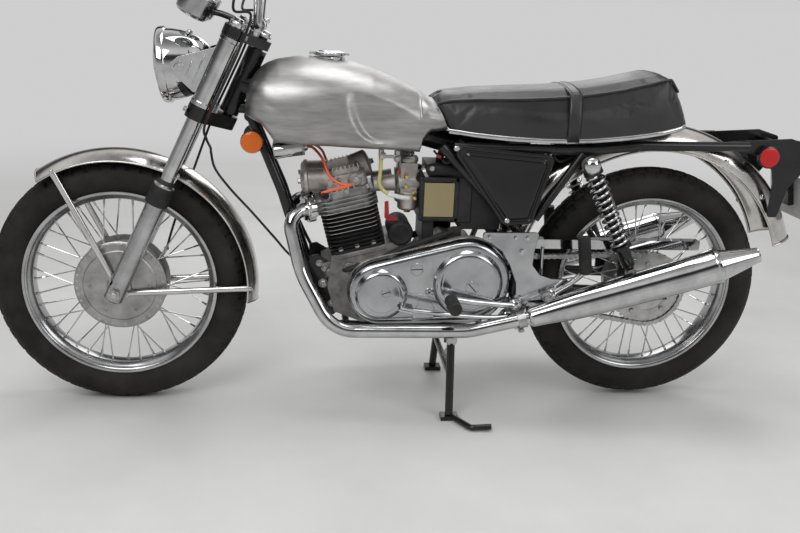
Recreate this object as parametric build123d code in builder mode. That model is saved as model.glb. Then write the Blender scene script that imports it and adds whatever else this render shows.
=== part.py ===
"""Roadster-style café racer motorcycle, parked on its centre stand.

Millimetres. +X points to the rear, -Y is the rider's left, +Z is up, z = 0 is the ground.
A station is a distance behind the front axle; the origin is under the middle of the machine.
"""
from build123d import *
from math import cos, pi, radians, sin
import os

os.makedirs("parts", exist_ok=True)

# Overall layout
WHEELBASE = 1440.0
TAIL_REACH = 1900.0
REAR_LIFT = 8.0
RAKE = 25.0
FORK_OFFSET = 66.0
FORK_SPREAD = 93.0
FIT = 0.4
SEAT_GAP = 0.3

# Wheels and tyres
TYRE_R = 334.0
TYRE_W = 102.0
TYRE_WALL = 9.0
TYRE_TREAD = 14.0
RIM_R = 253.0
RIM_W = 76.0
RIM_WELL_R = 231.0
RIM_LIP = 5.0
RIM_WALL = 3.0
SPOKE_R = 2.0
SPOKE_PAIRS = 10
AXLE_R = 8.5
FRONT_HUB_R = 128.0
FRONT_HUB_W = 84.0
REAR_HUB_R = 62.0
REAR_HUB_W = 92.0
HUB_FLANGE = 5.0

# Derived frame of reference
FRONT_X = TYRE_R - (TYRE_R + TAIL_REACH) / 2
FRONT_Z = TYRE_R
REAR_X = FRONT_X + WHEELBASE
REAR_Z = TYRE_R + REAR_LIFT
SIN_RAKE = sin(radians(RAKE))
COS_RAKE = cos(radians(RAKE))


def at(station, y, z):
    """Point at a distance behind the front axle, across and above the ground."""
    return Vector(FRONT_X + station, y, z)


def on_leg(distance, y=0.0, back=0.0):
    """Point at a distance up the fork from the axle, moved back square to the fork."""
    x = FRONT_X + distance * SIN_RAKE + back * COS_RAKE
    return Vector(x, y, FRONT_Z + distance * COS_RAKE - back * SIN_RAKE)


FORK_DIR = Vector(SIN_RAKE, 0, COS_RAKE)
FRONT_CENTRE = Vector(FRONT_X, 0, FRONT_Z)
REAR_CENTRE = Vector(REAR_X, 0, REAR_Z)


def rod(start, end, radius, bore=0.0, mode=Mode.ADD):
    """Straight round bar or tube between two points."""
    start = Vector(*start)
    end = Vector(*end)
    with BuildSketch(Plane(origin=start, z_dir=end - start)) as section:
        Circle(radius)
        if bore:
            Circle(bore, mode=Mode.SUBTRACT)
    extrude(section.sketch, amount=(end - start).length, mode=mode)


def bent(points, bends, radius, bore=0.0):
    """Round tube along straight runs joined by tangent bends."""
    with BuildLine() as route:
        FilletPolyline(*points, radius=bends)
    with BuildSketch(Plane(origin=route.line @ 0, z_dir=route.line % 0)) as section:
        Circle(radius)
        if bore:
            Circle(bore, mode=Mode.SUBTRACT)
    sweep(section.sketch, path=route.line)


def disc(centre, direction, radius, thick, mode=Mode.ADD):
    """Round disc centred on a point."""
    with BuildSketch(Plane(origin=centre, z_dir=direction)) as section:
        Circle(radius)
    extrude(section.sketch, amount=thick / 2, both=True, mode=mode)


def turned(origin, direction, profile, mode=Mode.ADD):
    """Turned piece: (distance along the axis, radius) corners, closed along the axis."""
    side = Vector(0, 1, 0) if abs(direction.Y) < 0.9 else Vector(1, 0, 0)
    across = side - direction.normalized() * side.dot(direction.normalized())
    place = Plane(origin=origin, x_dir=direction, z_dir=direction.cross(across))
    with BuildSketch(place) as section:
        with BuildLine():
            Polyline((profile[0][0], 0), *profile, (profile[-1][0], 0), close=True)
        make_face()
    revolve(section.sketch, axis=Axis(origin, direction), mode=mode)


def block(centre, size, turn=0.0, mode=Mode.ADD):
    """Box centred on a point, its top leant forward by turn degrees."""
    lean = radians(turn)
    place = Plane(origin=centre, x_dir=(cos(lean), 0, sin(lean)), z_dir=(-sin(lean), 0, cos(lean)))
    with BuildSketch(place) as section:
        Rectangle(size[0], size[1])
    extrude(section.sketch, amount=size[2] / 2, both=True, mode=mode)


def side_plate(points, y, thick, round_r=0.0, mode=Mode.ADD):
    """Flat plate parallel to the machine's side, from stations and heights."""
    with BuildSketch(Plane(origin=(FRONT_X, y, 0), x_dir=(1, 0, 0), z_dir=(0, -1, 0))) as outline:
        with BuildLine():
            Polyline(*points, close=True)
        make_face()
        if round_r:
            fillet(outline.vertices(), round_r)
    extrude(outline.sketch, amount=thick / 2, both=True, mode=mode)


def ring_section(centre, angle):
    """Plane through a wheel's axle: across is local X, outward is local Y."""
    return Plane(origin=centre, x_dir=(0, 1, 0), z_dir=(sin(radians(angle)), 0, -cos(radians(angle))))


def save(piece, name):
    piece.part.label = name
    export_step(piece.part, f"parts/{name}.step")


BOTH = ((-1, "left"), (1, "right"))
CROSS = Vector(0, 1, 0)


def tyre(name, centre):
    """Tyre open towards its rim: tread arc, side walls and beads that sit on the rim."""
    half = TYRE_W / 2
    shoulder = TYRE_R - 26
    bead_r = RIM_R - RIM_LIP - 4
    bead_half = RIM_W / 2 - RIM_LIP - SEAT_GAP
    inner = half - TYRE_WALL
    with BuildPart() as piece:
        with BuildSketch(ring_section(centre, 90)):
            with BuildLine():
                Line((-bead_half, bead_r), (-bead_half, RIM_R + 1))
                ThreePointArc((-bead_half, RIM_R + 1), (-half, (RIM_R + shoulder) / 2),
                              (7 - half, shoulder))
                ThreePointArc((7 - half, shoulder), (0, TYRE_R), (half - 7, shoulder))
                ThreePointArc((half - 7, shoulder), (half, (RIM_R + shoulder) / 2), (bead_half, RIM_R + 1))
                Line((bead_half, RIM_R + 1), (bead_half, bead_r))
                Line((bead_half, bead_r), (bead_half - TYRE_WALL, bead_r))
                Line((bead_half - TYRE_WALL, bead_r), (inner - 6, shoulder - 12))
                ThreePointArc((inner - 6, shoulder - 12), (0, TYRE_R - TYRE_TREAD),
                              (6 - inner, shoulder - 12))
                Line((6 - inner, shoulder - 12), (TYRE_WALL - bead_half, bead_r))
                Line((TYRE_WALL - bead_half, bead_r), (-bead_half, bead_r))
            make_face()
        revolve(axis=Axis(centre, CROSS))
    save(piece, name)


def wheel(name, centre, hub_r, hub_w, hub_bore):
    """Flanged alloy rim, full hub and crossed steel spokes."""
    half = RIM_W / 2
    well = RIM_WELL_R
    seat_r = RIM_R - RIM_LIP - 4 - SEAT_GAP
    with BuildPart() as piece:
        with BuildSketch(ring_section(centre, 90)):
            with BuildLine():
                Polyline(
                    (-half, RIM_R), (-half, seat_r - 6), (-half + 14, well), (half - 14, well),
                    (half, seat_r - 6), (half, RIM_R), (half - RIM_LIP, RIM_R), (half - RIM_LIP, seat_r),
                    (half - 18, seat_r - 4), (half - 22, well + RIM_WALL), (-half + 22, well + RIM_WALL),
                    (-half + 18, seat_r - 4), (-half + RIM_LIP, seat_r), (-half + RIM_LIP,
                                                                          RIM_R), close=True)
            make_face()
        revolve(axis=Axis(centre, CROSS))
        disc(centre, CROSS, hub_r - 8, hub_w)
        for side in (-1, 1):
            disc(centre + CROSS * side * (hub_w / 2 - HUB_FLANGE), CROSS, hub_r, HUB_FLANGE)
        disc(centre, CROSS, hub_bore, hub_w + 2, mode=Mode.SUBTRACT)
        step = 360 / (2 * SPOKE_PAIRS)
        lean = 2.2 * step
        for number in range(2 * SPOKE_PAIRS):
            for side in (-1, 1):
                turn = number * step + (side + 1) * step / 4
                cross = lean if number % 2 else -lean
                hub_a = radians(turn + cross * (1 if hub_r < 100 else 0.5))
                rim_a = radians(turn)
                y_hub = side * (hub_w / 2 - HUB_FLANGE)
                y_rim = side * 9
                hub_at = centre + Vector((hub_r - 5) * cos(hub_a), y_hub, (hub_r - 5) * sin(hub_a))
                rim_at = centre + Vector((well + 1) * cos(rim_a), y_rim, (well + 1) * sin(rim_a))
                rod(hub_at, rim_at, SPOKE_R)
    save(piece, name)


tyre("front_tyre", FRONT_CENTRE)
tyre("rear_tyre", REAR_CENTRE)
wheel("front_wheel", FRONT_CENTRE, FRONT_HUB_R, FRONT_HUB_W, AXLE_R + FIT)
wheel("rear_wheel", REAR_CENTRE, REAR_HUB_R, REAR_HUB_W, AXLE_R + FIT)


# Steering: yokes and stem, fork legs, lamp, bars and front mudguard
STANCHION_R = 17.4
SLIDER_R = 24.5
SLIDER_LOW = -26.0
SLIDER_TOP = 266.0
DUST_R = 28.0
DUST_TOP = 320.0
LOWER_YOKE = 500.0
YOKE_THICK = 34.0
UPPER_YOKE = 722.0
UPPER_THICK = 24.0
STEM_R = 13.0
SHROUD_R = 24.0
HEAD_TUBE_R = 25.0
STEER_CLEAR = 5.0
BACK_DIR = Vector(COS_RAKE, 0, -SIN_RAKE)


def yoke_plate(distance, thick, clamp_r, stem_boss_r):
    """Yoke: two stanchion clamps and the stem boss joined by one plate."""
    with BuildSketch(Plane(origin=on_leg(distance), x_dir=BACK_DIR, z_dir=FORK_DIR)) as outline:
        with Locations((0, FORK_SPREAD), (0, -FORK_SPREAD)):
            Circle(clamp_r)
        with Locations((FORK_OFFSET, 0)):
            Circle(stem_boss_r)
        make_hull()
    extrude(outline.sketch, amount=thick)


with BuildPart() as yokes:
    yoke_plate(LOWER_YOKE, YOKE_THICK, 27, 28)
    yoke_plate(UPPER_YOKE, UPPER_THICK, 27, 26)
    rod(on_leg(LOWER_YOKE, back=FORK_OFFSET), on_leg(UPPER_YOKE + UPPER_THICK + 6, back=FORK_OFFSET),
        STEM_R)
    for side, _ in BOTH:
        y = side * FORK_SPREAD
        rod(on_leg(LOWER_YOKE - 5, y), on_leg(UPPER_YOKE + UPPER_THICK + 5, y), STANCHION_R + SEAT_GAP,
            mode=Mode.SUBTRACT)
save(yokes, "yokes")

with BuildPart() as fork_legs:
    for side, _ in BOTH:
        y = side * FORK_SPREAD
        turned(on_leg(0, y), FORK_DIR, (
            (SLIDER_LOW, SLIDER_R - 4), (SLIDER_LOW + 4, SLIDER_R), (SLIDER_TOP, SLIDER_R), (SLIDER_TOP,
                    DUST_R),
            (DUST_TOP - 6, DUST_R), (DUST_TOP, DUST_R - 6), (DUST_TOP, STANCHION_R),
            (UPPER_YOKE + UPPER_THICK + 1, STANCHION_R), (UPPER_YOKE + UPPER_THICK + 1, STANCHION_R + 3),
            (UPPER_YOKE + UPPER_THICK + 13, STANCHION_R + 3), (UPPER_YOKE + UPPER_THICK + 15, STANCHION_R)))
    disc(FRONT_CENTRE, CROSS, AXLE_R + SEAT_GAP, 2 * (FORK_SPREAD + SLIDER_R + 2), mode=Mode.SUBTRACT)
save(fork_legs, "fork_legs")

AXLE_OUT = FORK_SPREAD + SLIDER_R
with BuildPart() as front_axle:
    disc(FRONT_CENTRE, CROSS, AXLE_R, 2 * AXLE_OUT + 16)
    for side, _ in BOTH:
        with BuildSketch(Plane(origin=FRONT_CENTRE + CROSS * side * (AXLE_OUT + 1),
                               z_dir=CROSS * side)) as nut:
            RegularPolygon(15, 6)
        extrude(nut.sketch, amount=10)
save(front_axle, "front_axle")

PLATE_R = 116.0
PLATE_IN = FRONT_HUB_W / 2 + 1.5
PLATE_THICK = 9.0
with BuildPart() as brake_plate:
    plate_mid = FRONT_CENTRE + CROSS * (PLATE_IN + PLATE_THICK / 2)
    disc(plate_mid, CROSS, PLATE_R, PLATE_THICK)
    disc(plate_mid + CROSS * 1, CROSS, 30, PLATE_THICK + 2)
    rod(on_leg(100, PLATE_IN + 2), on_leg(100, FORK_SPREAD - SLIDER_R - 0.5), 9)
    disc(plate_mid, CROSS, AXLE_R + SEAT_GAP, 60, mode=Mode.SUBTRACT)
save(brake_plate, "brake_plate")

LAMP_Z = 577.0
LAMP_R = 95.0
LAMP_TILT = 5.0
LAMP_AHEAD = 118.0
LAMP_DIR = Vector(-cos(radians(LAMP_TILT)), 0, -sin(radians(LAMP_TILT)))
LAMP_CENTRE = on_leg(LAMP_Z + 66) + Vector(-LAMP_AHEAD, 0, 0)
EAR_AT = 96.0

with BuildPart() as headlamp:
    turned(LAMP_CENTRE, LAMP_DIR, (
        (-105, 30), (-95, 46), (-75, 64), (-45, 80), (-10, 88), (8, 89), (8, LAMP_R), (24, LAMP_R),
        (28, LAMP_R - 6), (34, 76), (42, 52), (47, 26), (48, 8)))
    disc(LAMP_CENTRE - LAMP_DIR * 28, CROSS, 7, 2 * EAR_AT + 12)
save(headlamp, "headlamp")

EAR_CENTRE = LAMP_CENTRE - LAMP_DIR * 28
with BuildPart() as headlamp_brackets:
    for side, _ in BOTH:
        y = side * FORK_SPREAD
        low = LOWER_YOKE + YOKE_THICK + SEAT_GAP
        high = UPPER_YOKE - SEAT_GAP
        rod(on_leg(low, y), on_leg(high, y), SHROUD_R)
        ear = Plane(origin=(0, side * EAR_AT, 0), x_dir=(1, 0, 0), z_dir=(0, -1, 0))
        low_at = on_leg(low + 66)
        high_at = on_leg(high - 20)
        with BuildSketch(ear) as ear_face:
            with BuildLine():
                Polyline(
                    (EAR_CENTRE.X - 12, EAR_CENTRE.Z + 8), (EAR_CENTRE.X - 6, EAR_CENTRE.Z - 12),
                    (low_at.X, low_at.Z), (high_at.X, high_at.Z), (EAR_CENTRE.X,
                                                                   EAR_CENTRE.Z + 14), close=True)
            make_face()
        extrude(ear_face.sketch, amount=2, both=True)
        rod(on_leg(low - 1, y), on_leg(high + 1, y), STANCHION_R + SEAT_GAP, mode=Mode.SUBTRACT)
    disc(EAR_CENTRE, CROSS, 7 + SEAT_GAP, 2 * EAR_AT + 30, mode=Mode.SUBTRACT)
save(headlamp_brackets, "headlamp_brackets")

POD_R = 43.0
POD_LONG = 62.0
POD_TILT = 29.0
POD_DIR = Vector(sin(radians(POD_TILT)), 0, cos(radians(POD_TILT)))
POD_SPREAD = 58.0
POD_AHEAD = 62.0
YOKE_TOP = UPPER_YOKE + UPPER_THICK
with BuildPart() as instruments:
    for side, _ in BOTH:
        foot = on_leg(YOKE_TOP + 8, side * POD_SPREAD, -POD_AHEAD)
        turned(foot, POD_DIR, ((0, POD_R - 10), (8, POD_R - 2), (POD_LONG - 10, POD_R), (POD_LONG, POD_R),
                               (POD_LONG, POD_R - 3)))
    with BuildSketch(Plane(origin=on_leg(YOKE_TOP + SEAT_GAP), x_dir=BACK_DIR, z_dir=FORK_DIR)) as bracket:
        with Locations((-POD_AHEAD + 20, 0)):
            RectangleRounded(70, 2 * POD_SPREAD + 20, 8)
        with Locations((2, 0)):
            RectangleRounded(34, 60, 6)
    extrude(bracket.sketch, amount=10)
save(instruments, "instruments")

BAR_R = 11.1
BAR_CLAMP_UP = 26.0
BAR_BACK = 44.0
BAR_CENTRE = on_leg(YOKE_TOP + BAR_CLAMP_UP, back=BAR_BACK)
GRIP_R = 16.0
GRIP_LONG = 118.0
with BuildPart() as handlebar:
    mid = BAR_CENTRE
    half = [mid + Vector(0, 0, 0), mid + Vector(0, 52, 0), mid + Vector(6, 118, 88),
            mid + Vector(26, 206, 104),
            mid + Vector(118, 330, 92)]
    other = [Vector(point.X, -point.Y, point.Z) for point in half]
    route = other[:0:-1] + half[1:]
    bent([tuple(point) for point in route], (40, 30, 30, 30, 30, 40), BAR_R)
    for side, _ in BOTH:
        clamp = Vector(mid.X, side * 34, mid.Z)
        disc(clamp, CROSS, 19, 24)
        rod(clamp, clamp - FORK_DIR * (BAR_CLAMP_UP - SEAT_GAP), 13)
BAR_END = half[-1]
BAR_OUT = (half[-1] - half[-2]).normalized()
save(handlebar, "handlebar")

with BuildPart() as grips:
    for side, _ in BOTH:
        out = Vector(BAR_OUT.X, side * BAR_OUT.Y, BAR_OUT.Z)
        end = Vector(BAR_END.X, side * BAR_END.Y, BAR_END.Z)
        rod(end - out * (GRIP_LONG - 4), end - out * 0.5, GRIP_R, BAR_R + SEAT_GAP)
save(grips, "grips")

GUARD_CLEAR = 28.0
GUARD_R = TYRE_R + GUARD_CLEAR
GUARD_HALF = 62.0
GUARD_DEEP = 26.0
GUARD_THICK = 2.5


def mudguard(centre, crown_r, half, deep, start, sweep_angle):
    """Rolled mudguard: shallow arched section swept about the wheel's axle."""
    with BuildSketch(ring_section(centre, start)) as section:
        with BuildLine():
            ThreePointArc((-half, crown_r - deep), (0, crown_r), (half, crown_r - deep))
            Line((half, crown_r - deep), (half - GUARD_THICK, crown_r - deep))
            ThreePointArc((half - GUARD_THICK, crown_r - deep), (0, crown_r - GUARD_THICK),
                          (GUARD_THICK - half, crown_r - deep))
            Line((GUARD_THICK - half, crown_r - deep), (-half, crown_r - deep))
        make_face()
    revolve(section.sketch, axis=Axis(centre, -CROSS), revolution_arc=sweep_angle)


def around(centre, radius, angle, y):
    """Point on a wheel's circle, its angle measured up from the rear."""
    return centre + Vector(radius * cos(radians(angle)), y, radius * sin(radians(angle)))


STAY_R = 6.0
GUARD_FROM = -7.0
GUARD_ARC = 131.0
with BuildPart() as front_mudguard:
    mudguard(FRONT_CENTRE, GUARD_R, GUARD_HALF, GUARD_DEEP, GUARD_FROM, GUARD_ARC)
    edge_r = GUARD_R - GUARD_DEEP
    for side, _ in BOTH:
        inside = FORK_SPREAD - SLIDER_R - SEAT_GAP - STAY_R - 1
        front_low = Vector(FRONT_X - 14, side * inside, FRONT_Z + 26)
        rear_low = Vector(FRONT_X + 16, side * inside, FRONT_Z - 16)
        bridge_low = on_leg(236, side * (FORK_SPREAD - DUST_R - STAY_R - 2))
        rod(front_low, around(FRONT_CENTRE, edge_r + 4, 116, side * (GUARD_HALF - 2)), STAY_R)
        rod(rear_low, around(FRONT_CENTRE, edge_r + 4, 0, side * (GUARD_HALF - 2)), STAY_R)
        for eye in (front_low, rear_low):
            disc(eye + CROSS * side * 2.6, CROSS, 9, 9.2)
        rod(bridge_low, around(FRONT_CENTRE, edge_r + 4, 62, side * (GUARD_HALF - 2)), STAY_R)
save(front_mudguard, "front_mudguard")


# Frame: spine, twin cradle tubes and the rear loop
SPINE_R = 28.5
TUNNEL_HALF = 44.0
CRADLE_R = 12.7
CRADLE_Z = 240.0
CRADLE_Y = 80.0
UPRIGHT_LOW = (1044, 116, CRADLE_Z)
UPRIGHT_TOP = (1056, 108, 508)
RAIL_Y = 106.0
STAND_PIVOT = (886, 208)
STAND_PIN_R = 9.0
LUG_Y = 98.0
SHOCK_Y = 146.0
SHOCK_TOP = (1216, 702)
SHOCK_LOW = (1360, 412)
def upright(share, side, out=0.0):
    """Point on the centre line of the cradle's rear upright, from its foot (0) to its top (1)."""
    station, across, height = (low + share * (top - low) for low, top in zip(UPRIGHT_LOW, UPRIGHT_TOP))
    return at(station, side * (across + out), height)


with BuildPart() as frame_spine:
    head_low = LOWER_YOKE + YOKE_THICK + STEER_CLEAR
    head_high = UPPER_YOKE - STEER_CLEAR
    rod(on_leg(head_low, back=FORK_OFFSET), on_leg(head_high, back=FORK_OFFSET), HEAD_TUBE_R)
    rod(on_leg(620, back=FORK_OFFSET), at(902, 0, 722), SPINE_R)
    rod(on_leg(556, back=FORK_OFFSET), at(470, 0, 798), 16)
    for station, height in ((430, 841), (740, 763)):
        rod(at(station, SEAT_GAP - TUNNEL_HALF, height), at(station, TUNNEL_HALF - SEAT_GAP, height), 12)
    rod(on_leg(head_low - 1, back=FORK_OFFSET), on_leg(head_high + 1, back=FORK_OFFSET), STEM_R + FIT,
        mode=Mode.SUBTRACT)
save(frame_spine, "frame_spine")

with BuildPart() as frame_cradle:
    for side, _ in BOTH:
        bent((at(345, side * 24, 790), at(425, side * 46, 600), at(540, side * CRADLE_Y, CRADLE_Z),
              upright(0, side), upright(1, side), at(833, side * RAIL_Y, 736)),
             (300, 60, 70, 45), CRADLE_R)
    rod(at(600, -CRADLE_Y, CRADLE_Z), at(600, CRADLE_Y, CRADLE_Z), 10)
    rod(at(970, -108, CRADLE_Z), at(970, 108, CRADLE_Z), 10)
    for side, _ in BOTH:
        block(at(STAND_PIVOT[0], side * LUG_Y, (STAND_PIVOT[1] + CRADLE_Z) / 2),
              (34, 8, CRADLE_Z - STAND_PIVOT[1] + 26))
        side_plate(((984, 338), (1047, 338), (1047, 378), (984, 378)), side * 92, 3.4)
        block(at(1042, side * 97, 358), (10, 14, 40))
    disc(at(STAND_PIVOT[0], 0, STAND_PIVOT[1]), CROSS, STAND_PIN_R + FIT, 2 * LUG_Y + 20,
         mode=Mode.SUBTRACT)
    rod(at(344, -34, 790), at(344, 34, 790), 15)
    rod(on_leg(530, back=FORK_OFFSET), on_leg(722, back=FORK_OFFSET), HEAD_TUBE_R + SEAT_GAP,
        mode=Mode.SUBTRACT)
    rod(on_leg(550, back=FORK_OFFSET), at(476, 0, 797), 16 + SEAT_GAP, mode=Mode.SUBTRACT)
save(frame_cradle, "frame_cradle")

with BuildPart() as rear_frame:
    for side, _ in BOTH:
        bent((at(866, side * RAIL_Y, 735), at(1240, side * RAIL_Y, 735), at(1360, side * RAIL_Y, 749),
              at(1655, side * RAIL_Y, 754)),
             (200, 200), CRADLE_R)
        rod(at(1092, side * (RAIL_Y + 2), 548), at(1206, side * (RAIL_Y + 2), 726), CRADLE_R - 2)
        rod(at(SHOCK_TOP[0], side * RAIL_Y, SHOCK_TOP[1]),
            at(SHOCK_TOP[0], side * (SHOCK_Y - 15 - SEAT_GAP), SHOCK_TOP[1]), 11)
        block(at(SHOCK_TOP[0], side * RAIL_Y, SHOCK_TOP[1] + 14), (40, 8, 44))
    rod(at(890, -RAIL_Y, 735), at(890, RAIL_Y, 735), 10)
    rod(at(1230, -RAIL_Y, 738), at(1230, RAIL_Y, 738), 10)
    rod(on_leg(620, back=FORK_OFFSET), at(904, 0, 721.5), SPINE_R + SEAT_GAP, mode=Mode.SUBTRACT)
save(rear_frame, "rear_frame")

PIVOT = at(1004, 0, 358)
ARM_Y = 94.0
ARM_IN_Y = 75.0
ARM_R = 14.0
with BuildPart() as swingarm:
    rod(PIVOT - CROSS * 90, PIVOT + CROSS * 90, 18)
    for side, _ in BOTH:
        bent((PIVOT + CROSS * side * ARM_IN_Y, at(1050, side * ARM_IN_Y, 356), at(1092, side * ARM_Y, 354),
              Vector(REAR_X - 30, side * ARM_Y, REAR_Z)), (30, 60), ARM_R)
        block((REAR_X, side * ARM_Y, REAR_Z), (96, 8, 40))
        block(at(SHOCK_LOW[0], side * ARM_Y, 384), (40, 8, 72))
        rod(at(SHOCK_LOW[0], side * ARM_Y, SHOCK_LOW[1]),
            at(SHOCK_LOW[0], side * (SHOCK_Y - 14 - SEAT_GAP), SHOCK_LOW[1]), 8)
    disc(REAR_CENTRE, CROSS, AXLE_R + SEAT_GAP, 2 * ARM_Y + 40, mode=Mode.SUBTRACT)
save(swingarm, "swingarm")

REAR_AXLE_OUT = ARM_Y + 5
with BuildPart() as rear_axle:
    disc(REAR_CENTRE, CROSS, AXLE_R, 2 * REAR_AXLE_OUT + 20)
    for side, _ in BOTH:
        with BuildSketch(Plane(origin=REAR_CENTRE + CROSS * side * (ARM_Y + 4 + SEAT_GAP),
                               z_dir=CROSS * side)) as nut:
            RegularPolygon(17, 6)
        extrude(nut.sketch, amount=12)
save(rear_axle, "rear_axle")

# Engine and gearbox
CYL_LEAN = 14.0
CYL_BASE = at(627, 0, 454)
CYL_UP = Vector(-sin(radians(CYL_LEAN)), 0, cos(radians(CYL_LEAN)))
CYL_BACK = Vector(cos(radians(CYL_LEAN)), 0, sin(radians(CYL_LEAN)))
CRANK = at(687, 0, 350)
MAINSHAFT = at(915, 0, 380)


def on_engine(back, up, y=0.0):
    """Point beside the cylinders: back from their axis and up from their base."""
    return CYL_BASE + CYL_BACK * back + CYL_UP * up + CROSS * y


def fin(back, up, size, corner):
    """One cooling fin square to the cylinder axis."""
    with BuildSketch(Plane(origin=on_engine(back, up), x_dir=CYL_BACK, z_dir=CYL_UP)) as outline:
        RectangleRounded(size[0], size[1], corner)
    extrude(outline.sketch, amount=size[2])


BARREL_TALL = 106.0
FIN_LONG = 152.0
FIN_WIDE = 208.0
FIN_THICK = 3.0
BARREL_FINS = 9
HEAD_FINS = 4
FIN_STEP = 10.6
with BuildPart() as cylinder_barrel:
    fin(0, 0.0, (128, 186, BARREL_TALL), 30)
    fin(0, 0.0, (146, 196, 9), 20)
    for number in range(BARREL_FINS):
        fin(0, 14 + number * FIN_STEP, (FIN_LONG, FIN_WIDE, FIN_THICK), 34)
save(cylinder_barrel, "cylinder_barrel")

HEAD_LOW = BARREL_TALL + SEAT_GAP
PORT_UP = HEAD_LOW + 22
PORT_Y = 58.0
with BuildPart() as cylinder_head:
    fin(0, HEAD_LOW, (132, 190, 60), 28)
    for number in range(HEAD_FINS):
        fin(0, HEAD_LOW + 4 + number * FIN_STEP, (FIN_LONG + 8, FIN_WIDE, FIN_THICK), 34)
    fin(8, HEAD_LOW + 58, (118, 176, 62), 26)
    for side, _ in BOTH:
        rod(on_engine(-30, 196, side * 62), on_engine(-98, 206, side * 62), 30)
        rod(on_engine(-98, 206, side * 62), on_engine(-104, 207, side * 62), 24)
        rod(on_engine(-60, PORT_UP, side * PORT_Y), on_engine(-82, PORT_UP, side * PORT_Y), 21.5)
    rod(on_engine(30, 200), on_engine(80, 206), 36)
save(cylinder_head, "cylinder_head")

def flat(point):
    """Station and height of a point."""
    return (point.X - FRONT_X, point.Z)


CASE_HALF = 94.0
with BuildPart() as crankcase:
    side_plate((flat(on_engine(-72, -SEAT_GAP)), flat(on_engine(92, -SEAT_GAP)), (785.7, 440), (785.7, 300),
                (742, 253),
                (640, 253), (566, 282), (548, 350)), 0, 2 * CASE_HALF)
    side_plate(((600, 290), (548, 318), (498, 380), (512, 402), (590, 390)), 0, 96)
save(crankcase, "crankcase")

COVER_FRONT_R = 90.0
COVER_REAR_R = 118.0
COVER_IN = -CASE_HALF - SEAT_GAP
COVER_JOINT = -112.0
COVER_OUT = -152.0


def cover_layer(y_from, y_to, grow, mode=Mode.ADD):
    """Layer of the primary drive cover: the hull of its two wheels' circles."""
    with BuildSketch(Plane(origin=(0, y_from, 0), x_dir=(1, 0, 0), z_dir=(0, -1, 0))) as outline:
        with Locations((CRANK.X, CRANK.Z)):
            Circle(COVER_FRONT_R + grow)
        with Locations((MAINSHAFT.X, MAINSHAFT.Z)):
            Circle(COVER_REAR_R + grow)
        make_hull()
    extrude(outline.sketch, amount=y_from - y_to, mode=mode)


with BuildPart() as primary_cover:
    cover_layer(COVER_IN, COVER_JOINT, 0)
    cover_layer(COVER_JOINT, COVER_OUT + 14, -2)
    cover_layer(COVER_OUT + 14, COVER_OUT, -12)
    turned(CRANK + CROSS * (COVER_OUT + 2), -CROSS, ((0, 68), (8, 64), (13, 54), (14, 0.5)))
    turned(MAINSHAFT + CROSS * (COVER_OUT + 2), -CROSS, ((0, 92), (9, 87), (15, 76), (16, 0.5)))
save(primary_cover, "primary_cover")

with BuildPart() as timing_cover:
    side_plate(((610, 300), (640, 268), (740, 268), (772, 310), (772, 390), (700, 436), (620, 428),
                (596, 360)),
               CASE_HALF + SEAT_GAP + 14, 28, 20)
    turned(CRANK + CROSS * (CASE_HALF + 20), CROSS, ((0, 62), (16, 58), (20, 50), (21, 0.5)))
save(timing_cover, "timing_cover")

with BuildPart() as gearbox:
    side_plate(((786, 330), (800, 300), (900, 292), (984, 330), (984, 400), (940, 470), (860, 478),
                (790, 440)), 18, 120, 20)
    side_plate(((820, 330), (850, 306), (930, 306), (962, 340), (962, 400), (925, 448), (860, 452),
                (822, 420)), 92, 28, 20)
    disc(MAINSHAFT + CROSS * -60, CROSS, 20, 60)
    disc(MAINSHAFT + CROSS * -66, CROSS, 39, 6)
    disc(at(946, 112, 372), CROSS, 14, 20)
    disc(at(850, 112, 350), CROSS, 11, 20)
save(gearbox, "gearbox")

with BuildPart() as starter_motor:
    disc(at(736.9, -46, 502), CROSS, 32, 130)
    disc(at(736.9, -46, 502), CROSS, 27, 138)
save(starter_motor, "starter_motor")

CARB_Y = 44.0
CARB_X = 757.0
with BuildPart() as carburettors:
    for side, _ in BOTH:
        y = side * CARB_Y
        rod(on_engine(83, 152, y), at(734, y, 628), 19)
        rod(at(730, y, 628), at(797, y, 634), 24)
        block(at(CARB_X, y, 640), (46, 44, 100))
        disc(at(CARB_X, y, 582), (0, 0, 1), 27, 44)
        disc(at(CARB_X, y, 694), (0, 0, 1), 24, 12)
save(carburettors, "carburettors")

with BuildPart() as air_box:
    block(at(856, 0, 592), (74, 182, 124))
    block(at(850, 0, 666), (84, 176, 24))
    rod(at(842.4, 0, 675.1), at(849.97, 0, 705.36), 10)
    for side, _ in BOTH:
        rod(at(797.6, side * CARB_Y, 634.1), at(826, side * CARB_Y, 636.6), 27)
save(air_box, "air_box")

# Exhausts
FOOT_Y = 146.0
PIPE_R = 18.0
HEADER = ((440, 92, 552), (478, 118, 395), (560, 160, 251), (915, 188, 261), (1074, 198, 303))
SILENCER_END = (1675, 210, 486)
SILENCER_PROFILE = ((0, 19.5), (8, 23), (60, 25), (150, 31), (330, 40), (500, 44.5), (512, 45.5),
                    (524, 44.5), (640, 21))
with BuildPart() as headers:
    for side, _ in BOTH:
        start = on_engine(-80, PORT_UP, side * PORT_Y)
        corners = [at(s, side * y, z) for s, y, z in HEADER]
        bent([tuple(point) for point in [start] + corners], (46, 240, 100, 200), PIPE_R)
        out = (corners[0] - start).normalized()
        rod(start + out * 19, start + out * 37, 29)
        rod(on_engine(-60, PORT_UP, side * PORT_Y), on_engine(-82.3, PORT_UP, side * PORT_Y), 21.8,
            mode=Mode.SUBTRACT)
save(headers, "headers")

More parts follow.
